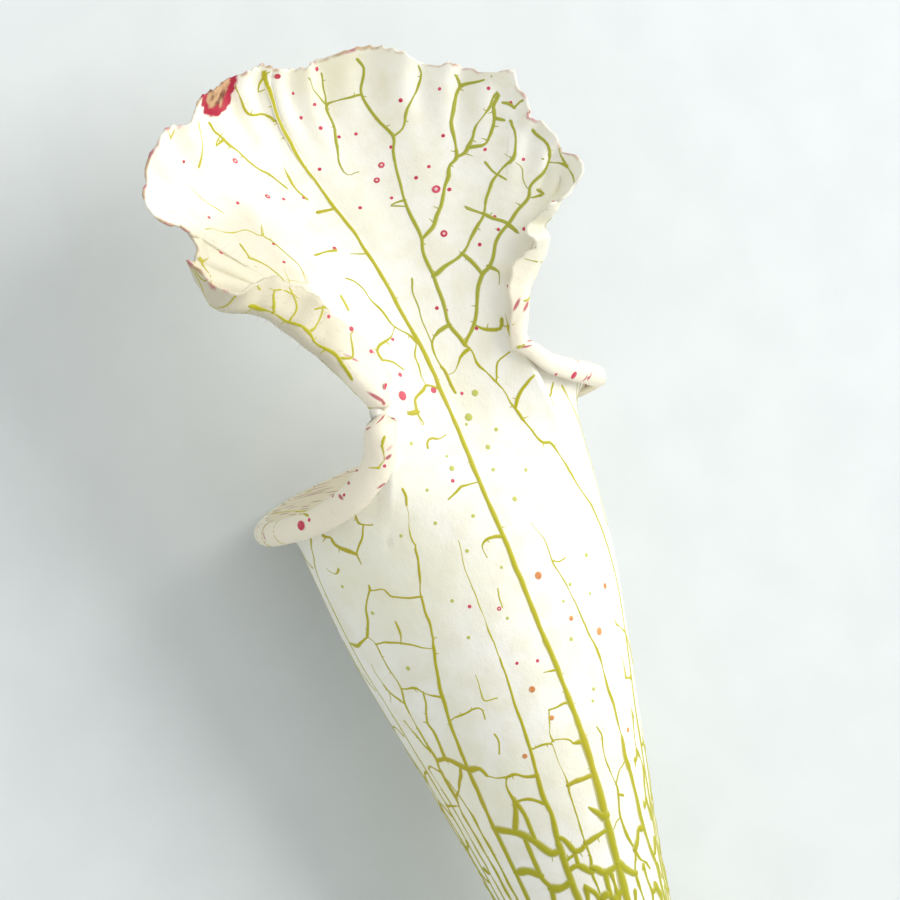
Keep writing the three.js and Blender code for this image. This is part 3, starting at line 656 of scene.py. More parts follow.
TUBE_NET = [  # the net between the ribs that the photograph shows
    (0.31, 0.35, [(-20.1, -56.6), (-21, -57.7), (-21, -60.4)]),
    (0.41, 0.5, [(-21, -60.4), (-22, -62.2), (-23.5, -64.1), (-24.6, -64.8)]),
    (0.37, 0.31, [(-21, -60.4), (-18, -60.6), (-16.3, -61.3), (-14.7, -62)]),
    (0.16, 0.19, [(-20.1, -56.6), (-22.3, -56.2), (-24.2, -55.5)]),
    (0.25, 0.37, [(-18, -56.6), (-16.1, -57.3), (-14.2, -57.7)]),
    (0.37, 0.41, [(-20.8, -60.6), (-20.1, -62.6), (-20.1, -65.3), (-20.4, -67.3)]),
    (0.66, 0.62, [(-29, -63.6), (-25, -64.5), (-22.7, -65.3), (-20.5, -66.8), (-17.8, -69.1),
                  (-15.2, -69.4)]),
    (0.71, 0.66, [(-29.4, -70.6), (-25, -71), (-22.6, -72.1)]),
    (0.66, 0.59, [(-21.3, -74.2), (-18.6, -74.6), (-15.4, -74.2)]),
    (0.41, 0.41, [(-8.3, -60.7), (-6, -60.5), (-2, -60.8)]),
    (0.5, 0.47, [(-8.7, -69.6), (-5.3, -69.3), (-1.9, -69.1)]),
    (0.56, 0.56, [(-9.3, -73.2), (-8, -73.6), (-5.7, -74.7), (-1.9, -74.5)]),
    (0.47, 0.41, [(-5.7, -74.7), (-6, -77.4), (-5.8, -82)]),
    (0.16, 0.94, [(-5.2, -64.9), (-3.7, -65.9), (-2, -67)]),
    (0.16, 0.62, [(-4.2, -55.3), (-1.9, -55.7)]),
    (0.15, 0.24, [(-6.4, -49.5), (-4, -49.5), (-2, -49.7)]),
    (0.13, 0.15, [(-6.4, -49.5), (-7.6, -52), (-8.1, -53)]),
    (0.12, 0.16, [(-8.5, -53.9), (-6.8, -53.9), (-4.6, -54.8)]),
    (0.25, 0.12, [(-12.7, -53.9), (-10.6, -53.7), (-8.7, -54.1)]),
    (0.53, 0.43, [(-15, -67.3), (-13.6, -67.9), (-12.5, -69.4), (-11.9, -70.2)]),
    (0.47, 0.37, [(-11.9, -70.2), (-9.8, -70.3), (-8.7, -69.7)]),
    (0.43, 0.43, [(-11.9, -70.2), (-12.1, -72.3)]),
    (0.47, 0.5, [(-15, -72.5), (-12.1, -72.3), (-9.9, -73.6), (-9.2, -74)]),
    (0.37, 0.31, [(-14.8, -71), (-12.4, -70.5)]),
    (0.19, 0.19, [(-0.8, -69.8), (1.1, -68.7), (2.8, -68.3)]),
    (0.22, 0.22, [(3.6, -63.5), (5.3, -62.2), (7.2, -61.5), (8.4, -61)]),
    (0.53, 0.56, [(5.3, -73.6), (7.2, -72.5), (8.3, -71.3), (10.2, -71.5)]),
    (0.68, 0.53, [(-1.2, -74.2), (1.1, -75.9), (3.9, -76.9)]),
    (0.37, 0.31, [(5.3, -73.6), (6.4, -75.1), (8.3, -75.9), (10.2, -77.4)]),
    (0.25, 0.08, [(3.4, -65), (5.3, -65.7)]),
    (0.09, 0.13, [(-15.9, -41), (-16.9, -44.8), (-14.4, -45.2)]),
    (0.29, 0.18, [(-25.2, -46.4), (-24.2, -46.3), (-20.1, -45.8), (-18.2, -46.1), (-18.4, -47.5)]),
    (0.22, 0.22, [(-18.2, -50.1), (-18.2, -51.3), (-19.3, -53)]),
    (0.13, 0.37, [(-4.5, -44.2), (-2, -44.6)]),
    (0.33, 0.29, [(-40.1, -32.6), (-37.2, -33), (-32.4, -31.7)]),
    (0.29, 0.22, [(-32.4, -31.7), (-30.9, -30.1), (-28.5, -26.9), (-26.3, -25.1), (-26, -24.2)]),
    (0.15, 0.11, [(-26.3, -25.1), (-23.6, -25.5)]),
    (0.22, 0.18, [(-31.3, -33), (-28.9, -33), (-25.8, -33.7), (-20.3, -35.6)]),
    (0.18, 0.18, [(-25.8, -33.7), (-24.5, -31.9), (-24.5, -30.4)]),
    (0.2, 0.15, [(-22.8, -26.9), (-17.9, -28)]),
    (0.26, 0.31, [(-31.5, -40.2), (-28, -40.5), (-27.1, -41.3), (-23.9, -42.9)]),
    (0.56, 0.62, [(-34.2, -51.9), (-31.5, -51.9), (-28.9, -53.2), (-27.3, -54.1)]),
    (0.62, 0.31, [(-27.3, -54.1), (-24.8, -54.4)]),
    (0.41, 0.19, [(-31.5, -51.9), (-30.9, -49.7), (-30.2, -47.5), (-30.4, -45.9), (-28, -43.1)]),
    (0.13, 0.11, [(-30.4, -45.9), (-31.5, -45.7)]),
    (0.37, 0.35, [(-35.5, -58), (-33.7, -57.1), (-30.7, -54.9), (-29.1, -53.6)]),
    (0.37, 0.35, [(-35.3, -53.8), (-37.7, -52.7), (-39.2, -53.2)]),
    (0.35, 0.31, [(-41.2, -59.3), (-36.6, -59.3)]),
    (0.35, 0.25, [(-34.2, -50.3), (-35.5, -49.2), (-36.4, -46.2), (-36.8, -45.3)]),
    (0.24, 0.2, [(-33.1, -42.6), (-35.5, -40.5), (-35.9, -39.1)]),
    (0.18, 0.13, [(-35.5, -40.5), (-37.4, -42.2)]),
    (0.18, 0.18, [(-35.9, -37), (-35.9, -36)]),
    (0.31, 0.33, [(-33.3, -15.9), (-30.6, -16.6), (-28, -17.9), (-25.4, -19.6)]),
    (0.26, 0.13, [(-25.4, -19.6), (-25.4, -21.2)]),
    (0.24, 0.13, [(-25.4, -19.6), (-23.2, -17.4)]),
    (0.37, 0.13, [(-26.7, -13.7), (-24.9, -15), (-22.1, -15.9), (-20.6, -16.1)]),
    (0.11, 0.22, [(-34.2, -20.9), (-32.4, -22), (-30.9, -21.2)]),
    (0.18, 0.37, [(-9.3, -3), (-7.8, -3.6)]),
    (0.37, 0.31, [(-7.8, -3.6), (-6.9, -2.1), (-4.1, -1.4), (-3.1, -1), (-1, -2.1)]),
    (0.22, 0.15, [(-3.1, -1), (-3.1, 0.6)]),
    (0.33, 0.11, [(-7.8, -3.6), (-7.9, -5.6)]),
    (0.31, 0.13, [(-9, -8.7), (-8.5, -8), (-6.2, -8.3), (-4.1, -8.3)]),
    (0.2, 0.26, [(-7.9, -16.5), (-5.8, -16.1), (-4.5, -15.6), (-1.4, -16)]),
    (0.13, 0.29, [(-5.3, -25.9), (-5.3, -24), (-4.1, -23.3), (-1.4, -24.1)]),
    (0.13, 0.13, [(-5.8, -30.6), (-6.4, -33.3)]),
    (0.18, 0.11, [(5.1, -30.2), (6.3, -30.9), (7.7, -30.7)]),
    (0.33, 0.29, [(11.3, -8.7), (12, -6.4), (13.3, -5), (14.3, -5.2)]),
    (0.26, 0.18, [(9.1, -4.2), (9.8, -1.7), (11.5, -1)]),
    (0.33, 0.26, [(1.4, 0), (1.6, -1.7), (1.8, -3.5)]),
    (0.33, 0.26, [(18.8, -9.2), (20, -9), (21.6, -7.8)]),
]
HOOD_VEINS = [
    (0.41, 0.31, [(6.1, 2), (5.3, 5.1), (6, 7.6), (6.8, 12), (7.1, 15), (8.2, 17), (8.8, 20.6),
                 (10.6, 24.7), (12.5, 28.4), (13.8, 30.4), (13.5, 32.6), (13.3, 37),
                 (14.9, 40.4), (14.3, 42.3)]),
    (0.34, 0.4, [(8.2, 17), (9.4, 17.4), (11.7, 19.1), (14.2, 21.1), (17.5, 24.1), (19.7, 25.2),
                  (22.1, 29.8), (25, 32.9), (26.1, 33.7), (25.8, 35.6)]),
    (0.39, 0.24, [(19.7, 25.2), (21.7, 25.8), (24.7, 28.3), (27.5, 30.1), (28.9, 31.2)]),
    (0.34, 0.39, [(21.7, 25.8), (24.2, 25.8), (27.5, 28.3), (28.3, 30.1), (29.7, 31.3)]),
    (0.42, 0.31, [(27.5, 28.3), (28.7, 27.2)]),
    (0.46, 0.19, [(26.1, 33.7), (28.9, 33.6)]),
    (0.4, 0.27, [(6.8, 12), (9.7, 12.6), (12.2, 13.4), (16.1, 16.2), (17.8, 17.4), (20.8, 20.4),
                  (23, 21.9), (25.6, 23.1), (27.2, 24.9), (28.3, 26.6)]),
    (0.27, 0.12, [(17.8, 17.4), (16.2, 19)]),
    (0.31, 0.31, [(12.2, 13.4), (12.9, 11.8), (13.3, 10)]),
    (0.41, 0.34, [(6.1, 2), (9.2, 4.8), (11.4, 7.9), (13.3, 10), (14.7, 10.6), (17.5, 13.7),
                  (19.7, 15.1), (21.9, 16.6), (24.1, 17.6), (25.2, 18.8), (27.7, 20.2),
                  (30, 22), (30.6, 23.4), (30.3, 25.4)]),
    (0.31, 0.25, [(17.8, 17.4), (18.9, 16.2), (19.7, 15.1), (20.5, 13.6)]),
    (0.34, 0.15, [(14.7, 10.6), (15.5, 9.5), (14.7, 7.9)]),
    (0.31, 0.19, [(24.1, 17.6), (26.3, 17.4)]),
    (0.19, 0.12, [(24.7, 18.5), (25, 19.8), (25.8, 21.5)]),
    (0.26, 0.21, [(13.8, 30.4), (15.7, 31.3), (18.7, 34.4), (20.5, 35.4), (22, 37), (21.9, 38.4)]),
    (0.26, 0.21, [(13.3, 37), (11.9, 37.3), (8, 37.3), (7.2, 34.1), (6.1, 31.8), (4.6, 29.8),
                  (4.6, 28), (6.5, 27.6)]),
    (0.19, 0.15, [(8, 37.3), (6.7, 39.8), (6.1, 42.3)]),
    (0.19, 0.15, [(8, 37.3), (8.9, 42)]),
    (0.24, 0.12, [(9.2, 22.4), (7.2, 22.2)]),
    (0.31, 0.21, [(5.3, 5.1), (2.9, 4.8), (1.5, 3.7), (1.1, 2), (1.2, 0.4)]),
    (0.21, 0.15, [(1.5, 3.7), (2.2, 8.1), (2.8, 10.4), (3.7, 12.6)]),
    (0.27, 0.15, [(6.1, 1.2), (4.7, 0.6), (3, -0.7)]),
    (0.34, 0.15, [(12.5, 3.4), (11.7, 2.4), (9.8, 2.9)]),
    (0.39, 0.21, [(-0.8, 38), (-1.1, 38.7), (-2.5, 39.8), (-5, 40.6), (-5.8, 43.1), (-6.3, 45.5)]),
    (0.25, 0.19, [(-0.9, 45), (-2.2, 42.9)]),
    (0.19, 0.27, [(-5.3, 29.3), (-6.1, 31.2), (-7.8, 32.9), (-9.9, 36.5), (-11.8, 39.4),
                  (-13.5, 42.3)]),
    (0.25, 0.12, [(-11.8, 39), (-13.8, 38.7)]),
    (0.08, 0.13, [(-19.2, 30.6), (-21.4, 33.7), (-22.5, 36.2)]),
    (0.13, 0.17, [(-24.7, 30.1), (-20.3, 28), (-17.5, 27.3), (-15.3, 25.8), (-14.2, 27)]),
    (0.17, 0.08, [(-15.3, 25.8), (-14.4, 24), (-13.5, 22), (-13.1, 20.1)]),
    (0.08, 0.1, [(-25.3, 27.3), (-24.2, 25.4), (-22.5, 24), (-20.6, 22.9)]),
    (0.2, 0.31, [(-9.2, 20.6), (-5.3, 19.9)]),
    (0.27, 0.12, [(-0.8, 17.9), (-3.3, 18.7)]),
    (0.31, 0.42, [(-0.7, 24.5), (-3.3, 24.9)]),
    (0.37, 0.19, [(-0.8, 4.8), (-1.4, 5.9), (-3.3, 8.1), (-3.6, 9.8), (-4.4, 12.3), (-5.4, 15.4),
                  (-6.7, 16.3)]),
    (0.14, 0.1, [(-17.2, 19.8), (-13.6, 18.1)]),
    (0.31, 0.15, [(-8.3, 5.9), (-7.2, 6.5), (-4.4, 6.8)]),
    (0.31, 0.21, [(-8.3, 4.8), (-6.9, 3.7), (-5.6, 2.3)]),
    (0.27, 0.19, [(-0.8, 4.8), (-2.2, 3.4), (-2.5, 2)]),
    (0.32, 0.32, [(-30.3, 17.3), (-28.1, 16.7), (-25.8, 14.5), (-24.2, 11.2), (-21.9, 8.7),
                (-20.6, 6.2), (-18.6, 3.7)]),
    (0.27, 0.22, [(-26.7, 16), (-29, 14)]),
    (0.27, 0.22, [(-25.6, 13.4), (-26.7, 12.6), (-29.8, 11.8)]),
    (0.27, 0.22, [(-24.2, 11.2), (-24.7, 10), (-27.5, 8.4), (-29.5, 9.5)]),
    (0.27, 0.27, [(-20.6, 6.2), (-21.4, 4.2), (-24.2, 4.8), (-25.3, 4)]),
]
main_veins = TUBE_RIBS + FRONT_RIBS + TUBE_NET + HOOD_VEINS
NET_HALF_WIDTH = np.array([  # along the sheet, half width of the net's veins in mm
    [-315, 0.34], [-140, 0.5], [-110, 0.55], [-85, 0.5], [-72, 0.44], [-60, 0.36], [-48, 0.24],
    [-30, 0.18], [0, 0.18], [25, 0.19], [50, 0.16],
])
NET_SPACING = np.array([  # along the sheet, least distance between the middles of two cells
    [-315, 3.6], [-110, 3], [-80, 3.1], [-60, 3.5], [-40, 4.6], [-20, 5.4], [0, 4.6], [50, 3.8],
])
NET_LOWEST = -135
SHEET_HALF, SHEET_TOP = 78, 56  # how far the net is laid out to the sides and up
CELL_STRETCH = 1.6  # how much longer than wide the net's cells are
CELL_TRIES, MOST_CELLS = 30000, 3000
SHORTEST_BORDER, LONGEST_BORDER = 0.9, 25
SNAP_GAP = 6  # a corner of the net this near to a main vein is moved on to it
JOIN_GAP, TOUCH_GAP = 2.3, 0.7  # ends nearer than this are led on to a vein, or count as joined
TRACED_LEFT, TRACED_RIGHT, TRACED_LOWEST = -40, 13, -77  # the tube's net in main_veins
VEIN_STEP = 0.6
RIB_HALF_WIDTH, WIDEST_VEIN = 0.4, 0.85
RIB_SWAY, VEIN_SWAY = 0.05, 0.09
SAG = 0.06  # how far a border bows out, as a share of its length
RIB_KNOBS, VEIN_KNOBS = 0.1, 0.28  # unevenness of the width, as a share of it
JOINT_FLARE, FLARE_REACH = 0.9, 1.3
CORNER_SWELL, CORNER_REACH = 0.4, 0.9
LOW_SWELL = 0.3  # how much wider the ribs get low on the tube, as a share
FAINTEST = 0.55  # depth of the green of the weakest vein, where 1 is the deepest
FULL_GREEN = 0.25  # half width from which a vein has the deepest green
STUB_LUCK = 0.3  # how much luck beyond the net's strength still leaves a stub of a border
THORN_LUCK, THORN_EVERY = 0.4, 4
FARTHEST_THORN, LEAST_WITH_THORN = 42, 0.17  # how far round the leaf, and half width of its vein
ARCH_HEIGHT, SUNK_EDGE = 0.34, 0.12  # as shares of the half width
LOWEST_OUTSIDE, LOWEST_INSIDE = -400, -40  # levels down to which the two faces have veins
LONGEST_STEP = 2  # a line is broken where two of its points are further apart than this
random = np.random.default_rng(11)


def lengths_along(line):
    """How far along the line each of its points is."""
    return np.concatenate([[0], np.cumsum(np.linalg.norm(np.diff(line, axis=0), axis=1))])


def steps_of(points, spacing):
    """A smooth line through the points of the sheet, with a point about every spacing."""
    points = np.array(points, float)
    lengths = lengths_along(points)
    count = max(2, int(round(lengths[-1] / spacing)) + 1)
    table = np.column_stack([lengths, points])
    return np.stack(read_table(table, np.linspace(0, lengths[-1], count)), -1)


def lifelike(line, half_width, sway, swell):
    """The line with small bends and the width with small knobs, as veins have them."""
    count = len(line)
    if count < 4:
        return line, half_width
    wobble = random.normal(0, 1, (2, count + 4))
    wobble = (wobble[:, :-4] + 2 * wobble[:, 1:-3] + 3 * wobble[:, 2:-2]
              + 2 * wobble[:, 3:-1] + wobble[:, 4:]) / 4.36
    ends_fixed = np.minimum(1, np.minimum(np.arange(count), np.arange(count)[::-1]) / 2)
    run = unit(np.gradient(line, axis=0))
    bent = line + np.stack([-run[:, 1], run[:, 0]], -1) * (sway * wobble[0] * ends_fixed)[:, None]
    return bent, half_width * np.clip(1 + swell * wobble[1], 0.5, 1.7)


def strength_of(across, along):
    """How complete the net is at a place on the sheet, from 0 to 1. It is full low on the tube,
    on its sides and on the hood's folds, and weak on the open hood. On the tube there is none
    where main_veins hold all that the photograph shows."""
    traced = (across > TRACED_LEFT) & (across < TRACED_RIGHT) & (along > TRACED_LOWEST)
    low = (1 - smoothstep(along, -60, -48)) * ~traced
    sides = smoothstep(np.abs(across), 24, 30) * (1 - smoothstep(along, -14, -6)) * ~traced
    between = 0.4 * (1 - smoothstep(along, -50, -25)) * ~traced
    hood_right = 0.1 * smoothstep(across, 1, 4) * smoothstep(along, -3, 2)
    hood_left = 0.08 * smoothstep(-across, 1, 4) * smoothstep(along, -2, 3)
    flap = smoothstep(-across, 15, 19) * smoothstep(along, -4, 2) * (1 - smoothstep(along, 26, 31))
    fold = 0.8 * smoothstep(across, 18, 21) * smoothstep(along, 3, 7) * (1 - smoothstep(along, 26, 31))
    parts = np.stack(np.broadcast_arrays(
        low, sides, between, hood_right, hood_left, flap, fold))
    return parts.max(axis=0)


def nearest_on(point, starts, runs):
    """The nearest place to a point on straight pieces of line, and how far off it is."""
    share = np.clip(((point - starts) * runs).sum(1) / (runs**2).sum(1), 0, 1)
    feet = starts + runs * share[:, None]
    gaps = np.linalg.norm(feet - point, axis=1)
    return feet[gaps.argmin()], gaps.min()


def joined_to_others(points, others):
    """The points of a vein, led on to the nearest other vein where an end stops just short of one."""
    starts = np.concatenate([line[:-1] for line in others])
    runs = np.concatenate([line[1:] for line in others]) - starts
    led_on = [np.array(point, float) for point in points]
    for place, at_start in ((led_on[0], True), (led_on[-1], False)):
        foot, gap = nearest_on(place, starts, runs)
        if 0.1 < gap < JOIN_GAP:
            led_on.insert(0 if at_start else len(led_on), foot)
    return led_on


main_lines = [steps_of(points, VEIN_STEP) for _, _, points in main_veins]
main_lines = [
    steps_of(joined_to_others(points, main_lines[:number] + main_lines[number + 1:]), VEIN_STEP)
    for number, (_, _, points) in enumerate(main_veins)
]
main_starts = np.concatenate([line[:-1] for line in main_lines])
main_ends = np.concatenate([line[1:] for line in main_lines])
main_runs = main_ends - main_starts
main_owners = np.concatenate([np.full(len(line) - 1, number) for number, line in enumerate(main_lines)])


def turns_left(a, b, c):
    """Whether the way from a over b to c turns left."""
    onward, aside = b - a, c - a
    return onward[..., 0] * aside[..., 1] > onward[..., 1] * aside[..., 0]


def crosses_main(a, b):
    """Whether the line from a to b on the sheet crosses a main vein."""
    apart = turns_left(a, main_starts, main_ends) != turns_left(b, main_starts, main_ends)
    across_line = turns_left(a, b, main_starts) != turns_left(a, b, main_ends)
    return bool((apart & across_line).any())


# The net is the borders between cells whose middles are scattered over the sheet. Middles keep
# their distance from each other, but less so where a main vein runs between them.
sheet_low, sheet_high = np.array([-SHEET_HALF, NET_LOWEST]), np.array([SHEET_HALF, SHEET_TOP])
candidates = random.uniform(sheet_low, sheet_high, (CELL_TRIES, 2))
rooms, = read_table(NET_SPACING, candidates[:, 1])
seeds = np.full((MOST_CELLS, 2), 1000.0)
seed_count = 0
for candidate, room in zip(candidates, rooms):
    gap = (seeds[:seed_count] - candidate) / (1, CELL_STRETCH)
    gap = np.hypot(gap[:, 0], gap[:, 1])
    close = np.flatnonzero(gap < room)
    if len(close) and (gap[close].min() < 0.5 * room or len(close) > 4):
        continue
    if all(crosses_main(candidate, seeds[number]) for number in close):
        seeds[seed_count] = candidate
        seed_count += 1
seeds = seeds[:seed_count]
squeezed = [Vector((x, y / CELL_STRETCH)) for x, y in seeds]
triangulated = geometry.delaunay_2d_cdt(squeezed, [], [], 0, 1e-6)
seed_of = [origin[0] for origin in triangulated[3]]
triangles = np.array([[seed_of[i] for i in face] for face in triangulated[2]])


def circle_middles(corners):
    """Middles of the circles through three points each."""
    a, b, c = corners[:, 0], corners[:, 1], corners[:, 2]
    d = 2 * (a[:, 0] * (b[:, 1] - c[:, 1]) + b[:, 0] * (c[:, 1] - a[:, 1]) + c[:, 0] * (a[:, 1] - b[:, 1]))
    aa, bb, cc = (a**2).sum(1), (b**2).sum(1), (c**2).sum(1)
    x = (aa * (b[:, 1] - c[:, 1]) + bb * (c[:, 1] - a[:, 1]) + cc * (a[:, 1] - b[:, 1])) / d
    y = (aa * (c[:, 0] - b[:, 0]) + bb * (a[:, 0] - c[:, 0]) + cc * (b[:, 0] - a[:, 0])) / d
    return np.stack([x, y], -1)


nodes = circle_middles(seeds[triangles] / (1, CELL_STRETCH)) * (1, CELL_STRETCH)
sides = {}
for number, corners in enumerate(triangles):
    for a, b in ((0, 1), (1, 2), (2, 0)):
        pair = tuple(sorted((int(corners[a]), int(corners[b]))))
        sides.setdefault(pair, []).append(number)
borders = [(pair, tuple(both)) for pair, both in sides.items() if len(both) == 2]

# Borders between cells on two sides of a main vein give way to it, and the rest end on it.
crossed = {both for pair, both in borders if crosses_main(seeds[pair[0]], seeds[pair[1]])}
for number in {node for both in crossed for node in both}:
    foot, gap = nearest_on(nodes[number], main_starts, main_runs)
    if gap < SNAP_GAP:
        nodes[number] = foot


def flare_at_joints(line, number):
    """How much wider a line gets at the ends where it meets another main vein."""
    run = lengths_along(line)
    wider = np.ones(len(line))
    others = main_owners != number
    for end, way in ((line[0], run), (line[-1], run[-1] - run)):
        if nearest_on(end, main_starts[others], main_runs[others])[1] < TOUCH_GAP:
            wider += JOINT_FLARE * np.exp(-((way / FLARE_REACH) ** 2))
    return wider


def thorn(line, half_width, place):
    """A short pointed side vein, or None where luck gives none."""
    if random.uniform() > THORN_LUCK or abs(line[place][0]) > FARTHEST_THORN:
        return None
    if half_width[place] < LEAST_WITH_THORN:
        return None
    run = unit(line[min(place + 1, len(line) - 1)] - line[place - 1])
    side = random.choice([-1, 1])
    way = unit(run * random.uniform(-0.5, 0.5) + side * np.array([-run[1], run[0]]))
    length = random.uniform(0.1, 0.6) + half_width[place]
    points = line[place] + way * np.linspace(0, length, 4)[:, None]
    return points, np.linspace(min(0.2, 0.7 * half_width[place]), 0.05, 4), np.full(4, 0.85)


# Lines for both faces: points on the sheet, half widths in mm, and how deep the green is.
vein_lines = []
for number, ((first, last, _), line) in enumerate(zip(main_veins, main_lines)):
    is_rib = max(first, last) > RIB_HALF_WIDTH
    half_width = np.linspace(first, last, len(line))
    sway, knobs = (RIB_SWAY, RIB_KNOBS) if is_rib else (VEIN_SWAY, VEIN_KNOBS)
    line, half_width = lifelike(line, half_width, sway, knobs)
    depth = FAINTEST + (1 - FAINTEST) * min(1, max(first, last) / FULL_GREEN)
    if is_rib:
        half_width = half_width * (1 + LOW_SWELL * smoothstep(line[:, 1], -46, -66))
    else:
        half_width = np.minimum(half_width * flare_at_joints(line, number), WIDEST_VEIN)
    vein_lines.append((line, half_width, np.full(len(line), depth)))
    for place in np.arange(random.uniform(1, 3), len(line) - 2, THORN_EVERY):
        vein_lines.append(thorn(line, half_width, int(place)))
vein_lines = [line for line in vein_lines if line is not None]
luck_of = {both: random.uniform() for pair, both in borders}
kept_nodes = set()
for pair, both in borders:
    if both not in crossed and luck_of[both] <= strength_of(*(nodes[both[0]] + nodes[both[1]]) / 2):
        kept_nodes.update(both)
for pair, both in borders:
    start, stop = nodes[both[0]], nodes[both[1]]
    length = np.linalg.norm(stop - start)
    if both in crossed or not SHORTEST_BORDER <= length <= LONGEST_BORDER:
        continue
    strength = float(strength_of(*(start + stop) / 2))
    count = max(4, int(round(length / VEIN_STEP)) + 1)
    share = np.linspace(0, 1, count)
    sag = random.normal(0, SAG) * length * np.sin(np.pi * share)
    sideways = np.array([start[1] - stop[1], stop[0] - start[0]]) / length
    line = start + (stop - start) * share[:, None] + sag[:, None] * sideways
    half_width, = read_table(NET_HALF_WIDTH, line[:, 1])
    from_start, from_stop = share * length, (1 - share) * length
    swell = np.exp(-((from_start / CORNER_REACH) ** 2)) + np.exp(-((from_stop / CORNER_REACH) ** 2))
    half_width = half_width * (1 + CORNER_SWELL * swell)
    if luck_of[both] > strength:
        rooted = [
            number in kept_nodes or nearest_on(nodes[number], main_starts, main_runs)[1] < 0.3
            for number in both
        ]
        if luck_of[both] > strength + STUB_LUCK or not any(rooted):
            continue
        keep = max(3, int(count * random.uniform(0.35, 0.7)))
        if not rooted[0]:
            line, half_width = line[::-1], half_width[::-1]
        line, half_width = line[:keep], half_width[:keep] * np.linspace(1, 0.15, keep)
    line, half_width = lifelike(line, half_width, VEIN_SWAY, VEIN_KNOBS)
    depth = FAINTEST + (1 - FAINTEST) * strength
    vein_lines.append((line, half_width, np.full(len(line), depth)))


def rounded_ends(line, half_width, depth):
    """The line with a half-round cap at either end, so that the arch never stands open."""
    reach, narrow = np.array([0.6, 1.0]), np.array([0.75, 0.08])
    before = line[0] + unit(line[0] - line[1]) * (half_width[0] * reach[::-1])[:, None]
    after = line[-1] + unit(line[-1] - line[-2]) * (half_width[-1] * reach)[:, None]
    half_width = np.concatenate([half_width[0] * narrow[::-1], half_width, half_width[-1] * narrow])
    return np.concatenate([before, line, after]), half_width, np.pad(depth, 2, mode="edge")


vein_lines = [rounded_ends(*line) for line in vein_lines]

# The sheet's triangles, by which a place on the sheet is found on either face of the leaf.
quad_corners = np.array([
    (r * total_columns + c, r * total_columns + c + 1, (r + 1) * total_columns + c + 1,
     (r + 1) * total_columns + c)
    for r in range(total_rows - 1) for c in range(total_columns - 1)
])
sheet_triangles = np.concatenate([quad_corners[:, :3], quad_corners[:, [0, 2, 3]]]).tolist()
flat_points = [Vector((x, y, 0)) for x, y in flat.reshape(-1, 2)]
sheet_finder = BVHTree.FromPolygons(flat_points, sheet_triangles)
outer_points = [Vector(point) for point in outer.reshape(-1, 3)]
inner_points = [Vector(point) for point in inner.reshape(-1, 3)]
face_normals = [Vector(normal) for normal in normals.reshape(-1, 3)]
over_values = over.ravel()


def on_leaf(place, inside):
    """Point and outward direction on one face of the leaf at a place on the sheet, or None."""
    hit, _, number, _ = sheet_finder.ray_cast(Vector((place[0], place[1], 1)), Vector((0, 0, -1)))
    if number is None:
        return None
    corners = sheet_triangles[number]
    flat_corners = [flat_points[i] for i in corners]
    face = inner_points if inside else outer_points
    point = geometry.barycentric_transform(hit, *flat_corners, *[face[i] for i in corners])
    normal = geometry.barycentric_transform(hit, *flat_corners, *[face_normals[i] for i in corners])
    beyond = max(over_values[i] for i in corners)
    return point, (-normal if inside else normal).normalized(), beyond


def vein_edges(name, inside, lowest):
    """All vein lines on one face, as an object of loose edges with the values the sweep reads."""
    points, directions, values, places, edges = [], [], [], [], []
    for line, half_width, depth in vein_lines:
        before = None
        for place, width, deep in zip(line, half_width, depth):
            found = on_leaf(place, inside) if place[1] > lowest else None
            if found is None:
                before = None
                continue
            if before is not None and (points[before] - found[0]).length < LONGEST_STEP:
                edges.append((before, len(points)))
            before = len(points)
            points.append(found[0])
            directions.append(found[1])
            values.append((width * MM, deep))
            places.append((place[0], place[1], found[2]))
    lines = mesh_piece(name, lay_down(np.array(points)), edges=edges)
    half_widths, depths = np.array(values).T
    keep_values(lines.data, "face_direction", "FLOAT_VECTOR", turn_down(np.array(directions)))
    keep_values(lines.data, "half_width", "FLOAT", half_widths)
    keep_values(lines.data, "depth", "FLOAT", depths)
    keep_values(lines.data, "sheet", "FLOAT_VECTOR", places)
    return lines


def started_tree(name, inputs, result):
    """A Geometry Nodes tree with named inputs, and the sockets inside it that give them."""
    tree = bpy.data.node_groups.new(name, "GeometryNodeTree")
    for label, kind in inputs.items():
        tree.interface.new_socket(label, in_out="INPUT", socket_type="NodeSocket" + kind)
    tree.interface.new_socket(result, in_out="OUTPUT", socket_type="NodeSocketGeometry")
    return tree, add_node(tree, "NodeGroupInput").outputs


def end_tree(tree, geometry, material, result):
    """Ends a tree in real faces with their material, because the export drops instances."""
    real = add_node(tree, "GeometryNodeRealizeInstances", {"Geometry": geometry}).outputs["Geometry"]
    coated = add_node(tree, "GeometryNodeSetMaterial", {"Geometry": real, "Material": material})
    add_node(tree, "NodeGroupOutput", {result: coated.outputs["Geometry"]})


# The sweep: the lines become curves that face outwards, and a low arch runs along each.
sweep, given = started_tree("vein sweep", {
    "Lines": "Geometry", "Arch height": "Float", "Sunk edge": "Float", "Material": "Material"}, "Veins")
curves = add_node(sweep, "GeometryNodeMeshToCurve", {"Mesh": given["Lines"]})
direction = add_node(
    sweep, "GeometryNodeInputNamedAttribute", {"Name": "face_direction"}, data_type="FLOAT_VECTOR")
facing_out = add_node(sweep, "GeometryNodeSetCurveNormal", {
    "Curve": curves.outputs["Curve"], "Normal": direction.outputs["Attribute"]}, mode="FREE")
vein_width = add_node(sweep, "GeometryNodeInputNamedAttribute", {"Name": "half_width"})
peak = add_node(sweep, "ShaderNodeMath", {0: given["Arch height"], 1: 2.0}, operation="MULTIPLY")
sunk = add_node(sweep, "ShaderNodeMath", {0: given["Sunk edge"], 1: -1.0}, operation="MULTIPLY")
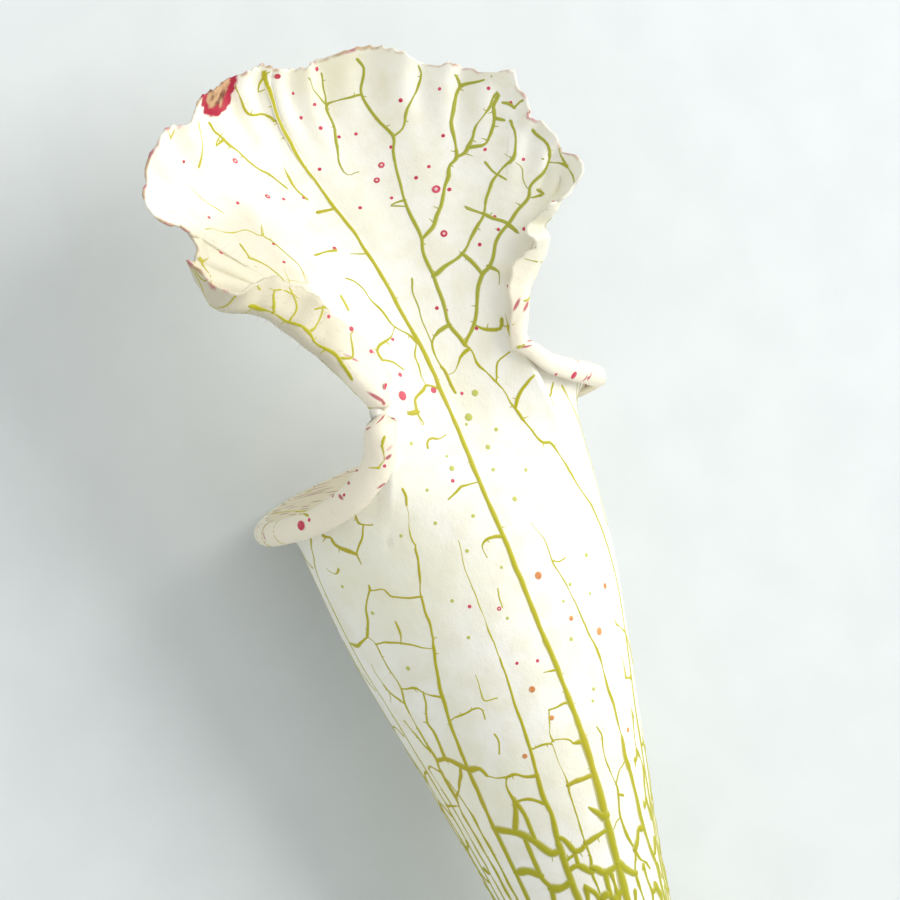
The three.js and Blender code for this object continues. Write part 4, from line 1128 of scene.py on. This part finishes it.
left_foot = add_node(sweep, "ShaderNodeCombineXYZ", {"X": sunk.outputs[0], "Y": -1.0})
right_foot = add_node(sweep, "ShaderNodeCombineXYZ", {"X": sunk.outputs[0], "Y": 1.0})
crown = add_node(sweep, "ShaderNodeCombineXYZ", {"X": peak.outputs[0]})
arch = add_node(sweep, "GeometryNodeCurveQuadraticBezier", {
    "Resolution": 4, "Start": left_foot.outputs[0], "Middle": crown.outputs[0],
    "End": right_foot.outputs[0]})

# The mark that the tissue's colour reads is 1 on the crown and falls to 0 at the arch's feet.
arch_place = add_node(sweep, "GeometryNodeInputPosition")
arch_parts = add_node(sweep, "ShaderNodeSeparateXYZ", {0: arch_place.outputs[0]})
off_middle = add_node(sweep, "ShaderNodeMath", {0: arch_parts.outputs["Y"]}, operation="ABSOLUTE")
falls = add_node(sweep, "ShaderNodeMath", {0: off_middle.outputs[0], 1: 5.0}, operation="POWER")
vein_value = add_node(sweep, "ShaderNodeMath", {0: 1.0, 1: falls.outputs[0]}, operation="SUBTRACT")
marked_arch = add_node(sweep, "GeometryNodeStoreNamedAttribute", {
    "Geometry": arch.outputs["Curve"], "Name": "vein", "Value": vein_value.outputs[0]})
swept = add_node(sweep, "GeometryNodeCurveToMesh", {
    "Curve": facing_out.outputs["Curve"], "Profile Curve": marked_arch.outputs["Geometry"],
    "Scale": vein_width.outputs["Attribute"]})
smooth = add_node(sweep, "GeometryNodeSetShadeSmooth", {"Geometry": swept.outputs["Mesh"]})
end_tree(sweep, smooth.outputs["Geometry"], given["Material"], "Veins")


def made_by_nodes(source, tree, name, settings):
    """Runs a Geometry Nodes tree on an object once and keeps the result as a plain mesh piece,
    with nothing of it below the floor."""
    modifier = source.modifiers.new(tree.name, "NODES")
    modifier.node_group = tree
    for item in tree.interface.items_tree:
        if item.in_out == "INPUT" and item.name in settings:
            modifier[item.identifier] = settings[item.name]
    evaluated = source.evaluated_get(bpy.context.evaluated_depsgraph_get())
    mesh = bpy.data.meshes.new_from_object(evaluated)
    mesh.name = name
    source.modifiers.remove(modifier)
    bpy.data.objects.remove(source)
    for vertex in mesh.vertices:
        vertex.co.z = max(vertex.co.z, 0)
    return shown(name, mesh)


for name, inside, lowest in (
        ("outer_veins", False, LOWEST_OUTSIDE), ("inner_veins", True, LOWEST_INSIDE)):
    veins = made_by_nodes(vein_edges(name + "_lines", inside, lowest), sweep, name, {
        "Arch height": ARCH_HEIGHT, "Sunk edge": SUNK_EDGE, "Material": tissue})
    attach(veins, "root")


# The gland spots. Crimson rings with a pale middle and small crimson dots are scattered over
# the hood, a few orange ones over the tube, and some blots sit on the lip. They are pigment in
# slightly raised tissue, so each is a very low dome, placed by Geometry Nodes.
RING, DOT, ORANGE, BLOT, GREEN = range(5)
DOME_HEIGHT = 0.12  # as a share of a spot's radius
PIGMENT_CLOUD = 1.111  # millimetres
SPOTS = [  # place on the sheet, radius in mm, kind
    (3.6, 40.8, 0.28, DOT), (5.8, 38.2, 0.3, DOT), (3.4, 37, 0.3, DOT), (5.1, 34.8, 0.32, DOT),
    (7.1, 32.7, 0.28, DOT), (9.6, 32.3, 0.28, DOT), (13.4, 33.3, 0.3, DOT), (17.3, 34.7, 0.34, DOT),
    (23, 34.4, 0.28, DOT), (1.5, 29.8, 0.3, DOT), (12.7, 29.2, 0.3, DOT), (10, 27.4, 0.52, RING),
    (19.8, 28.4, 0.3, DOT), (8, 25.8, 0.5, RING), (15.3, 25.3, 0.3, DOT), (12.8, 24.5, 0.32, DOT),
    (3, 23.4, 0.3, DOT), (8.1, 23.1, 0.28, DOT), (14.1, 22.3, 0.68, RING), (15.7, 21.7, 0.34, DOT),
    (23.5, 25, 0.3, DOT), (26.7, 22.4, 0.28, DOT), (30.3, 29.2, 0.42, DOT), (28.8, 32.4, 0.3, DOT),
    (11.3, 16.7, 0.55, RING), (18.8, 16.6, 0.28, DOT), (18.3, 14.9, 0.28, DOT), (15, 13.8, 0.3, DOT),
    (26.1, 18.1, 0.3, DOT), (26.7, 15.6, 0.5, BLOT), (4.9, 7.8, 0.3, DOT), (6, 7.1, 0.28, DOT),
    (8.7, 3.5, 0.3, DOT), (15.8, 7.3, 0.3, DOT), (21.5, 13.9, 0.3, DOT), (-11.3, 35.6, 0.5, RING),
    (-15.6, 30.8, 0.3, DOT), (-9.7, 29.6, 0.46, RING), (-7.2, 28.3, 0.3, DOT), (-3.7, 27.3, 0.32, DOT),
    (-24.9, 26.7, 0.34, DOT), (-15.2, 21.7, 0.28, DOT), (-5.2, 20.2, 0.34, DOT), (-21.1, 39.2, 0.3, DOT),
    (-22.3, 31, 0.28, DOT), (-6.7, 1.9, 0.36, DOT), (-8.4, -0.7, 0.75, BLOT), (-4.5, 6.4, 0.28, DOT),
    (-14.5, 24.2, 0.28, DOT), (3, -4, 0.26, DOT), (1.2, 44.4, 0.5, BLOT), (8.3, 43, 0.45, BLOT),
    (-7, -33.3, 0.34, RING), (-11.3, -31.5, 0.3, DOT), (-4.7, -42.3, 0.28, DOT), (-8.3, -41.5, 0.26, DOT),
    (1.5, -31.2, 0.6, ORANGE), (4.5, -38.8, 0.4, ORANGE), (10, -42.5, 0.6, ORANGE),
    (15.5, -37.3, 0.45, ORANGE), (-7.8, -45.8, 0.5, ORANGE), (-6.5, -50.7, 0.4, ORANGE),
    (-14.7, -54.5, 0.4, ORANGE), (11.7, -57.5, 0.4, ORANGE), (-2.2, -2, 0.5, BLOT),
    (-6.2, -14.4, 0.3, DOT), (-5.6, -12.8, 0.42, GREEN), (-5.8, -11, 0.22, GREEN),
    (-7.8, -24, 0.3, GREEN), (2.5, -7.4, 0.6, GREEN), (5.4, -4.6, 0.5, GREEN), (-11.6, -7.1, 0.3, GREEN),
    (-11.4, -14.1, 0.26, GREEN), (-10.9, -18.9, 0.28, GREEN), (-17, -18.9, 0.26, GREEN),
    (-4.6, -19.9, 0.3, GREEN), (3, -20.1, 0.4, GREEN), (2.1, -15.3, 0.3, GREEN), (7.7, -17.2, 0.3, GREEN),
    (3.4, -12.2, 0.38, GREEN), (6.7, -10.4, 0.32, GREEN), (12.7, -31.9, 0.36, GREEN),
    (-3.8, -28, 0.24, GREEN), (-13.5, -29.9, 0.28, GREEN), (-6.4, -35, 0.26, GREEN),
    (-13.8, -35.6, 0.28, GREEN), (6.7, -34.4, 0.3, GREEN), (1.4, -8.2, 0.24, GREEN),
    (4.2, -36.1, 0.24, GREEN), (3, -41.5, 0.32, GREEN), (10.5, -37, 0.26, GREEN),
    (-27.1, -37.4, 0.36, GREEN), (-32.2, -23.8, 0.3, GREEN), (-28.2, -28.4, 0.3, GREEN),
    (4.3, -49.5, 0.3, GREEN), (3.2, -51, 0.26, GREEN),
]
INNER_SPOTS = [
    (-25.1, 4.6, 0.4, DOT), (-25.9, 7.1, 0.32, DOT), (-23.6, 3.6, 0.3, DOT), (-23.4, 1.8, 0.34, DOT),
    (-19.6, 2.8, 0.6, BLOT), (-40.1, -9.6, 0.75, BLOT), (27.5, -2.3, 0.65, BLOT), (31.7, -4, 0.3, DOT),
    (24.7, -0.4, 0.26, DOT), (-27.6, -2.1, 0.3, BLOT), (-38.5, -9.5, 0.3, DOT), (-31.8, -7.2, 0.26, DOT),
]
spot_points, spot_directions, spot_values = [], [], []
for rows, inside in ((SPOTS, False), (INNER_SPOTS, True)):
    for place_x, place_y, spot_radius, kind in rows:
        found = on_leaf((place_x, place_y), inside)
        if found:
            spot_points.append(found[0])
            spot_directions.append(found[1])
            spot_values.append((spot_radius * MM, kind == RING, kind == ORANGE, kind == GREEN))
spot_places = mesh_piece("spot places", lay_down(np.array(spot_points)))
keep_values(spot_places.data, "face_direction", "FLOAT_VECTOR", turn_down(np.array(spot_directions)))
for name, values in zip(("spot_radius", "pale_middle", "orange", "green"), np.array(spot_values, float).T):
    keep_values(spot_places.data, name, "FLOAT", values)

dotting, given = started_tree("spots on places", {
    "Places": "Geometry", "Dome height": "Float", "Material": "Material"}, "Spots")
ball = add_node(dotting, "GeometryNodeMeshUVSphere", {"Segments": 16, "Rings": 9, "Radius": 1.0})
ball_place = add_node(dotting, "GeometryNodeInputPosition").outputs[0]
flat_place = add_node(dotting, "ShaderNodeVectorMath", {0: ball_place, 1: (1.0, 1.0, 0.0)},
                      operation="MULTIPLY").outputs[0]
from_middle = add_node(dotting, "ShaderNodeVectorMath", {0: flat_place}, operation="LENGTH")
marked_ball = add_node(dotting, "GeometryNodeStoreNamedAttribute", {
    "Geometry": ball.outputs["Mesh"], "Name": "from_middle", "Value": from_middle.outputs["Value"]})
dome_scale = add_node(dotting, "ShaderNodeCombineXYZ", {"X": 1.0, "Y": 1.0, "Z": given["Dome height"]})
dome = add_node(dotting, "GeometryNodeTransform", {
    "Geometry": marked_ball.outputs["Geometry"], "Scale": dome_scale.outputs[0]})
smooth_dome = add_node(dotting, "GeometryNodeSetShadeSmooth", {"Geometry": dome.outputs["Geometry"]})
direction = add_node(dotting, "GeometryNodeInputNamedAttribute", {"Name": "face_direction"},
                     data_type="FLOAT_VECTOR")
faced = add_node(dotting, "FunctionNodeAlignRotationToVector", {
    "Vector": direction.outputs["Attribute"]}, axis="Z")
spot_size = add_node(dotting, "GeometryNodeInputNamedAttribute", {"Name": "spot_radius"})
set_out = add_node(dotting, "GeometryNodeInstanceOnPoints", {
    "Points": given["Places"], "Instance": smooth_dome.outputs["Geometry"],
    "Rotation": faced.outputs["Rotation"], "Scale": spot_size.outputs["Attribute"]})
end_tree(dotting, set_out.outputs["Instances"], given["Material"], "Spots")

# The pigment lies in cells under the waxy cuticle, so its tone is uneven and it shines a little.
pigment = bare_material("gland_pigment")
tree = pigment.node_tree
from_middle = add_node(tree, "ShaderNodeAttribute", attribute_name="from_middle").outputs["Fac"]
pale_middle = add_node(tree, "ShaderNodeAttribute", attribute_name="pale_middle").outputs["Fac"]
orange_here = add_node(tree, "ShaderNodeAttribute", attribute_name="orange").outputs["Fac"]
green_here = add_node(tree, "ShaderNodeAttribute", attribute_name="green").outputs["Fac"]
leaf_place = add_node(tree, "ShaderNodeTexCoord").outputs["Object"]
uneven = add_node(tree, "ShaderNodeTexNoise", {
    "Vector": leaf_place, "Scale": 1 / (PIGMENT_CLOUD * MM), "Detail": 2.0}).outputs["Fac"]
red = laid_over(tree, linear("#C42646"), linear("#D8506A"), (uneven, 0.35, 0.65, 1))
red = laid_over(tree, red, linear("#F0C9C4"), pale_middle, (from_middle, 0.5, 0.25, 1))
orange = laid_over(tree, linear("#DD9A5B"), linear("#D07F42"), (uneven, 0.35, 0.65, 1))
spot_colour = laid_over(tree, red, orange, orange_here)
spot_colour = laid_over(tree, spot_colour, linear("#BFC45E"), green_here)
spot_colour = laid_over(tree, spot_colour, linear("#F3E6DA"), (from_middle, 0.8, 1, 0.7))
give_surface(tree, spot_colour, uneven, 0.4, 0.55)

spots = made_by_nodes(spot_places, dotting, "gland_spots", {
    "Dome height": DOME_HEIGHT, "Material": pigment})
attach(spots, "root")


# The hairs. The inner face of the hood has fine white hairs that point away from it, and they
# show against the light along its folded edges. They grow out of the leaf's skin there, and
# Geometry Nodes scatter them over a copy of that face.
HAIRS_PER_MM2, SHORTEST_HAIR, LONGEST_HAIR = 0.55, 0.7, 1.5
HAIR_RADIUS, HAIR_LEAN = 0.022, 0.6  # as a share of the length, and in radians
HAIR_ROOM = 1.7  # none grow where the box of the whole leaf is nearer than this
BALD_ROWS = 18  # rows of the grid above the tube that have none
FEW, HAIR_TONE = 0.12, 1.429  # share of the hairs away from the folds, and size of the tone's pattern
hood_rows = slice(tube_rows + BALD_ROWS, total_rows)
hair_columns = slice(centre - HOOD_STEPS - 2, centre + HOOD_STEPS + 3)
hair_ground = inner[hood_rows, hair_columns]
hair_sheet = flat[hood_rows, hair_columns]
laid_ground = lay_down(hair_ground)
room = np.minimum(np.array(cad_box[1]) - laid_ground, laid_ground - np.array(cad_box[0])).min(axis=-1)
hair_share = smoothstep(hair_sheet[..., 1], 0, 6) * (room > HAIR_ROOM * MM)
folded = smoothstep(-hair_sheet[..., 0], 10, 17) * smoothstep(hair_sheet[..., 1], 34, 24)
folded = np.maximum(folded, smoothstep(hair_sheet[..., 0], 17, 22) * smoothstep(hair_sheet[..., 1], 34, 24))
hair_share = hair_share * (FEW + (1 - FEW) * folded)
ground_numbers = np.arange(hair_share.size).reshape(hair_share.shape)
ground_quads = np.stack([
    ground_numbers[:-1, :-1], ground_numbers[1:, :-1], ground_numbers[1:, 1:], ground_numbers[:-1, 1:],
], -1).reshape(-1, 4).tolist()
ground = mesh_piece("hair ground", laid_ground, ground_quads)
keep_values(ground.data, "hair_share", "FLOAT", hair_share)

growing, given = started_tree("hairs on a face", {
    "Ground": "Geometry", "Hairs per square metre": "Float", "Shortest": "Float", "Longest": "Float",
    "Seed": "Int", "Material": "Material"}, "Hairs")
share_here = add_node(growing, "GeometryNodeInputNamedAttribute", {"Name": "hair_share"})
density = add_node(growing, "ShaderNodeMath", {
    0: share_here.outputs["Attribute"], 1: given["Hairs per square metre"]}, operation="MULTIPLY")
roots = add_node(growing, "GeometryNodeDistributePointsOnFaces", {
    "Mesh": given["Ground"], "Density": density.outputs[0], "Seed": given["Seed"]})
tilt = add_node(growing, "FunctionNodeRandomValue", {
    0: (-HAIR_LEAN, -HAIR_LEAN, 0.0), 1: (HAIR_LEAN, HAIR_LEAN, 6.28), "Seed": given["Seed"]},
    data_type="FLOAT_VECTOR")
tilted = add_node(growing, "FunctionNodeRotateRotation", {
    "Rotation": roots.outputs["Rotation"], "Rotate By": tilt.outputs["Value"]},
    rotation_space="LOCAL")
bent_line = add_node(growing, "GeometryNodeCurveQuadraticBezier", {
    "Resolution": 4, "Start": (0.0, 0.0, -0.05), "Middle": (0.0, 0.0, 0.6), "End": (0.35, 0.0, 1.0)})
along_hair = add_node(growing, "GeometryNodeSplineParameter")
taper = add_node(growing, "ShaderNodeMapRange", {
    "Value": along_hair.outputs["Factor"], "To Min": 1.0, "To Max": 0.25})
section = add_node(growing, "GeometryNodeCurvePrimitiveCircle", {"Resolution": 3, "Radius": HAIR_RADIUS})
one_hair = add_node(growing, "GeometryNodeCurveToMesh", {
    "Curve": bent_line.outputs["Curve"], "Profile Curve": section.outputs["Curve"],
    "Scale": taper.outputs["Result"]})
hair_length = add_node(growing, "FunctionNodeRandomValue", {
    2: given["Shortest"], 3: given["Longest"], "Seed": given["Seed"]}, data_type="FLOAT")
grown = add_node(growing, "GeometryNodeInstanceOnPoints", {
    "Points": roots.outputs["Points"], "Instance": one_hair.outputs["Mesh"],
    "Rotation": tilted.outputs["Rotation"], "Scale": hair_length.outputs[1]})
end_tree(growing, grown.outputs["Instances"], given["Material"], "Hairs")

# A hair is an empty cell in a clear cuticle, so it looks white and has a soft sheen.
cuticle = bare_material("white_hair_cuticle")
tree = cuticle.node_tree
leaf_place = add_node(tree, "ShaderNodeTexCoord").outputs["Object"]
hair_tone = add_node(tree, "ShaderNodeTexNoise", {
    "Vector": leaf_place, "Scale": 1 / (HAIR_TONE * MM), "Detail": 2.0}).outputs["Fac"]
give_surface(tree, laid_over(tree, linear("#F5F4EC"), linear("#E4E2D2"), hair_tone), hair_tone, 0.45, 0.6)

hairs = made_by_nodes(ground, growing, "hood_hairs", {
    "Hairs per square metre": HAIRS_PER_MM2 / MM**2, "Shortest": SHORTEST_HAIR * MM,
    "Longest": LONGEST_HAIR * MM, "Seed": 5, "Material": cuticle})
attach(hairs, "root")


# The floor. A pale sheet of matt paper lies under the leaf and is no part of it. Its pulp is a
# little cloudy, which gives an even, dull grey with next to no sheen.
FLOOR_SIZE, PULP_CLOUD = 3.0, 11.11  # metres, and millimetres
floor = mesh_piece("floor", np.array([
    [-FLOOR_SIZE, -FLOOR_SIZE, 0], [FLOOR_SIZE, -FLOOR_SIZE, 0],
    [FLOOR_SIZE, FLOOR_SIZE, 0], [-FLOOR_SIZE, FLOOR_SIZE, 0],
]), [(0, 1, 2, 3)])
paper = bare_material("matt_paper")
tree = paper.node_tree
floor_place = add_node(tree, "ShaderNodeTexCoord").outputs["Object"]
pulp = add_node(tree, "ShaderNodeTexNoise", {
    "Vector": floor_place, "Scale": 1 / (PULP_CLOUD * MM), "Detail": 4.0}).outputs["Fac"]
paper_colour = laid_over(tree, linear("#DADFE1"), linear("#D7DCDE"), (pulp, 0.3, 0.7, 1))
give_surface(tree, paper_colour, pulp, 0.8, 0.9)
floor.data.materials.append(paper)


# The camera looks down on the back of the leaf, at the photograph's viewing angle. It is far off
# with a long lens, so that near and far parts keep nearly the same scale.
VIEW_ROUND, VIEW_DOWN, VIEW_ROLL = math.radians(23), math.radians(10), math.radians(20)
PIXEL = 0.14  # millimetres of the leaf that one pixel of the photograph shows
IMAGE_SIZE = 900
NECK_PIXEL = (398, 371.6)  # where the photograph shows the neck
DISTANCE, SENSOR = 2.5, 36  # metres, and millimetres
leaf_up = Vector((math.cos(PITCH), 0, math.sin(PITCH)))
leaf_back = Vector((-math.sin(PITCH), 0, math.cos(PITCH)))
leaf_side = Vector((0, -1, 0))
towards = math.cos(VIEW_ROUND) * leaf_back - math.sin(VIEW_ROUND) * leaf_side
across_view = math.sin(VIEW_ROUND) * leaf_back + math.cos(VIEW_ROUND) * leaf_side
up_view = math.cos(VIEW_DOWN) * leaf_up - math.sin(VIEW_DOWN) * towards
to_camera = math.cos(VIEW_DOWN) * towards + math.sin(VIEW_DOWN) * leaf_up
right = math.cos(VIEW_ROLL) * across_view - math.sin(VIEW_ROLL) * up_view
upward = math.cos(VIEW_ROLL) * up_view + math.sin(VIEW_ROLL) * across_view
neck = Vector(NECK_PLACE) * MM
aim = neck + (IMAGE_SIZE / 2 - NECK_PIXEL[0]) * PIXEL * MM * right
aim += (NECK_PIXEL[1] - IMAGE_SIZE / 2) * PIXEL * MM * upward
camera_data = bpy.data.cameras.new("camera")
camera_data.sensor_width = SENSOR
camera_data.lens = SENSOR * DISTANCE / (IMAGE_SIZE * PIXEL * MM)
camera = shown("camera", camera_data)
turn_matrix = Matrix((right, upward, to_camera)).transposed().to_4x4()
camera.matrix_world = Matrix.Translation(aim + DISTANCE * to_camera) @ turn_matrix
bpy.context.scene.camera = camera


# The light: bright and even from all round, with one large lamp to the right of the camera and
# above it, whose shadows are soft. Sizes and distances are in metres.
FILL, KEY_POWER, KEY_SIZE = 0.77, 9.8, 0.9
KEY_RIGHT, KEY_NEAR, KEY_UP, KEY_DISTANCE = 1.15, 0.45, 0.6, 1.0
world = bpy.data.worlds.new("studio")
world.use_nodes = True
world.node_tree.nodes["Background"].inputs["Color"].default_value = linear("#F6F8F8")
world.node_tree.nodes["Background"].inputs["Strength"].default_value = FILL
bpy.context.scene.world = world
key_data = bpy.data.lights.new("key", "AREA")
key_data.energy = KEY_POWER
key_data.size = KEY_SIZE
key_data.color = linear("#FFFDF8")[:3]
key = shown("key", key_data)
key_from = (right * KEY_RIGHT + to_camera * KEY_NEAR + upward * KEY_UP).normalized()
key_turn = key_from.to_track_quat("Z", "Y").to_matrix().to_4x4()
key.matrix_world = Matrix.Translation(neck + key_from * KEY_DISTANCE) @ key_turn
bpy.context.scene.view_settings.view_transform = "Standard"
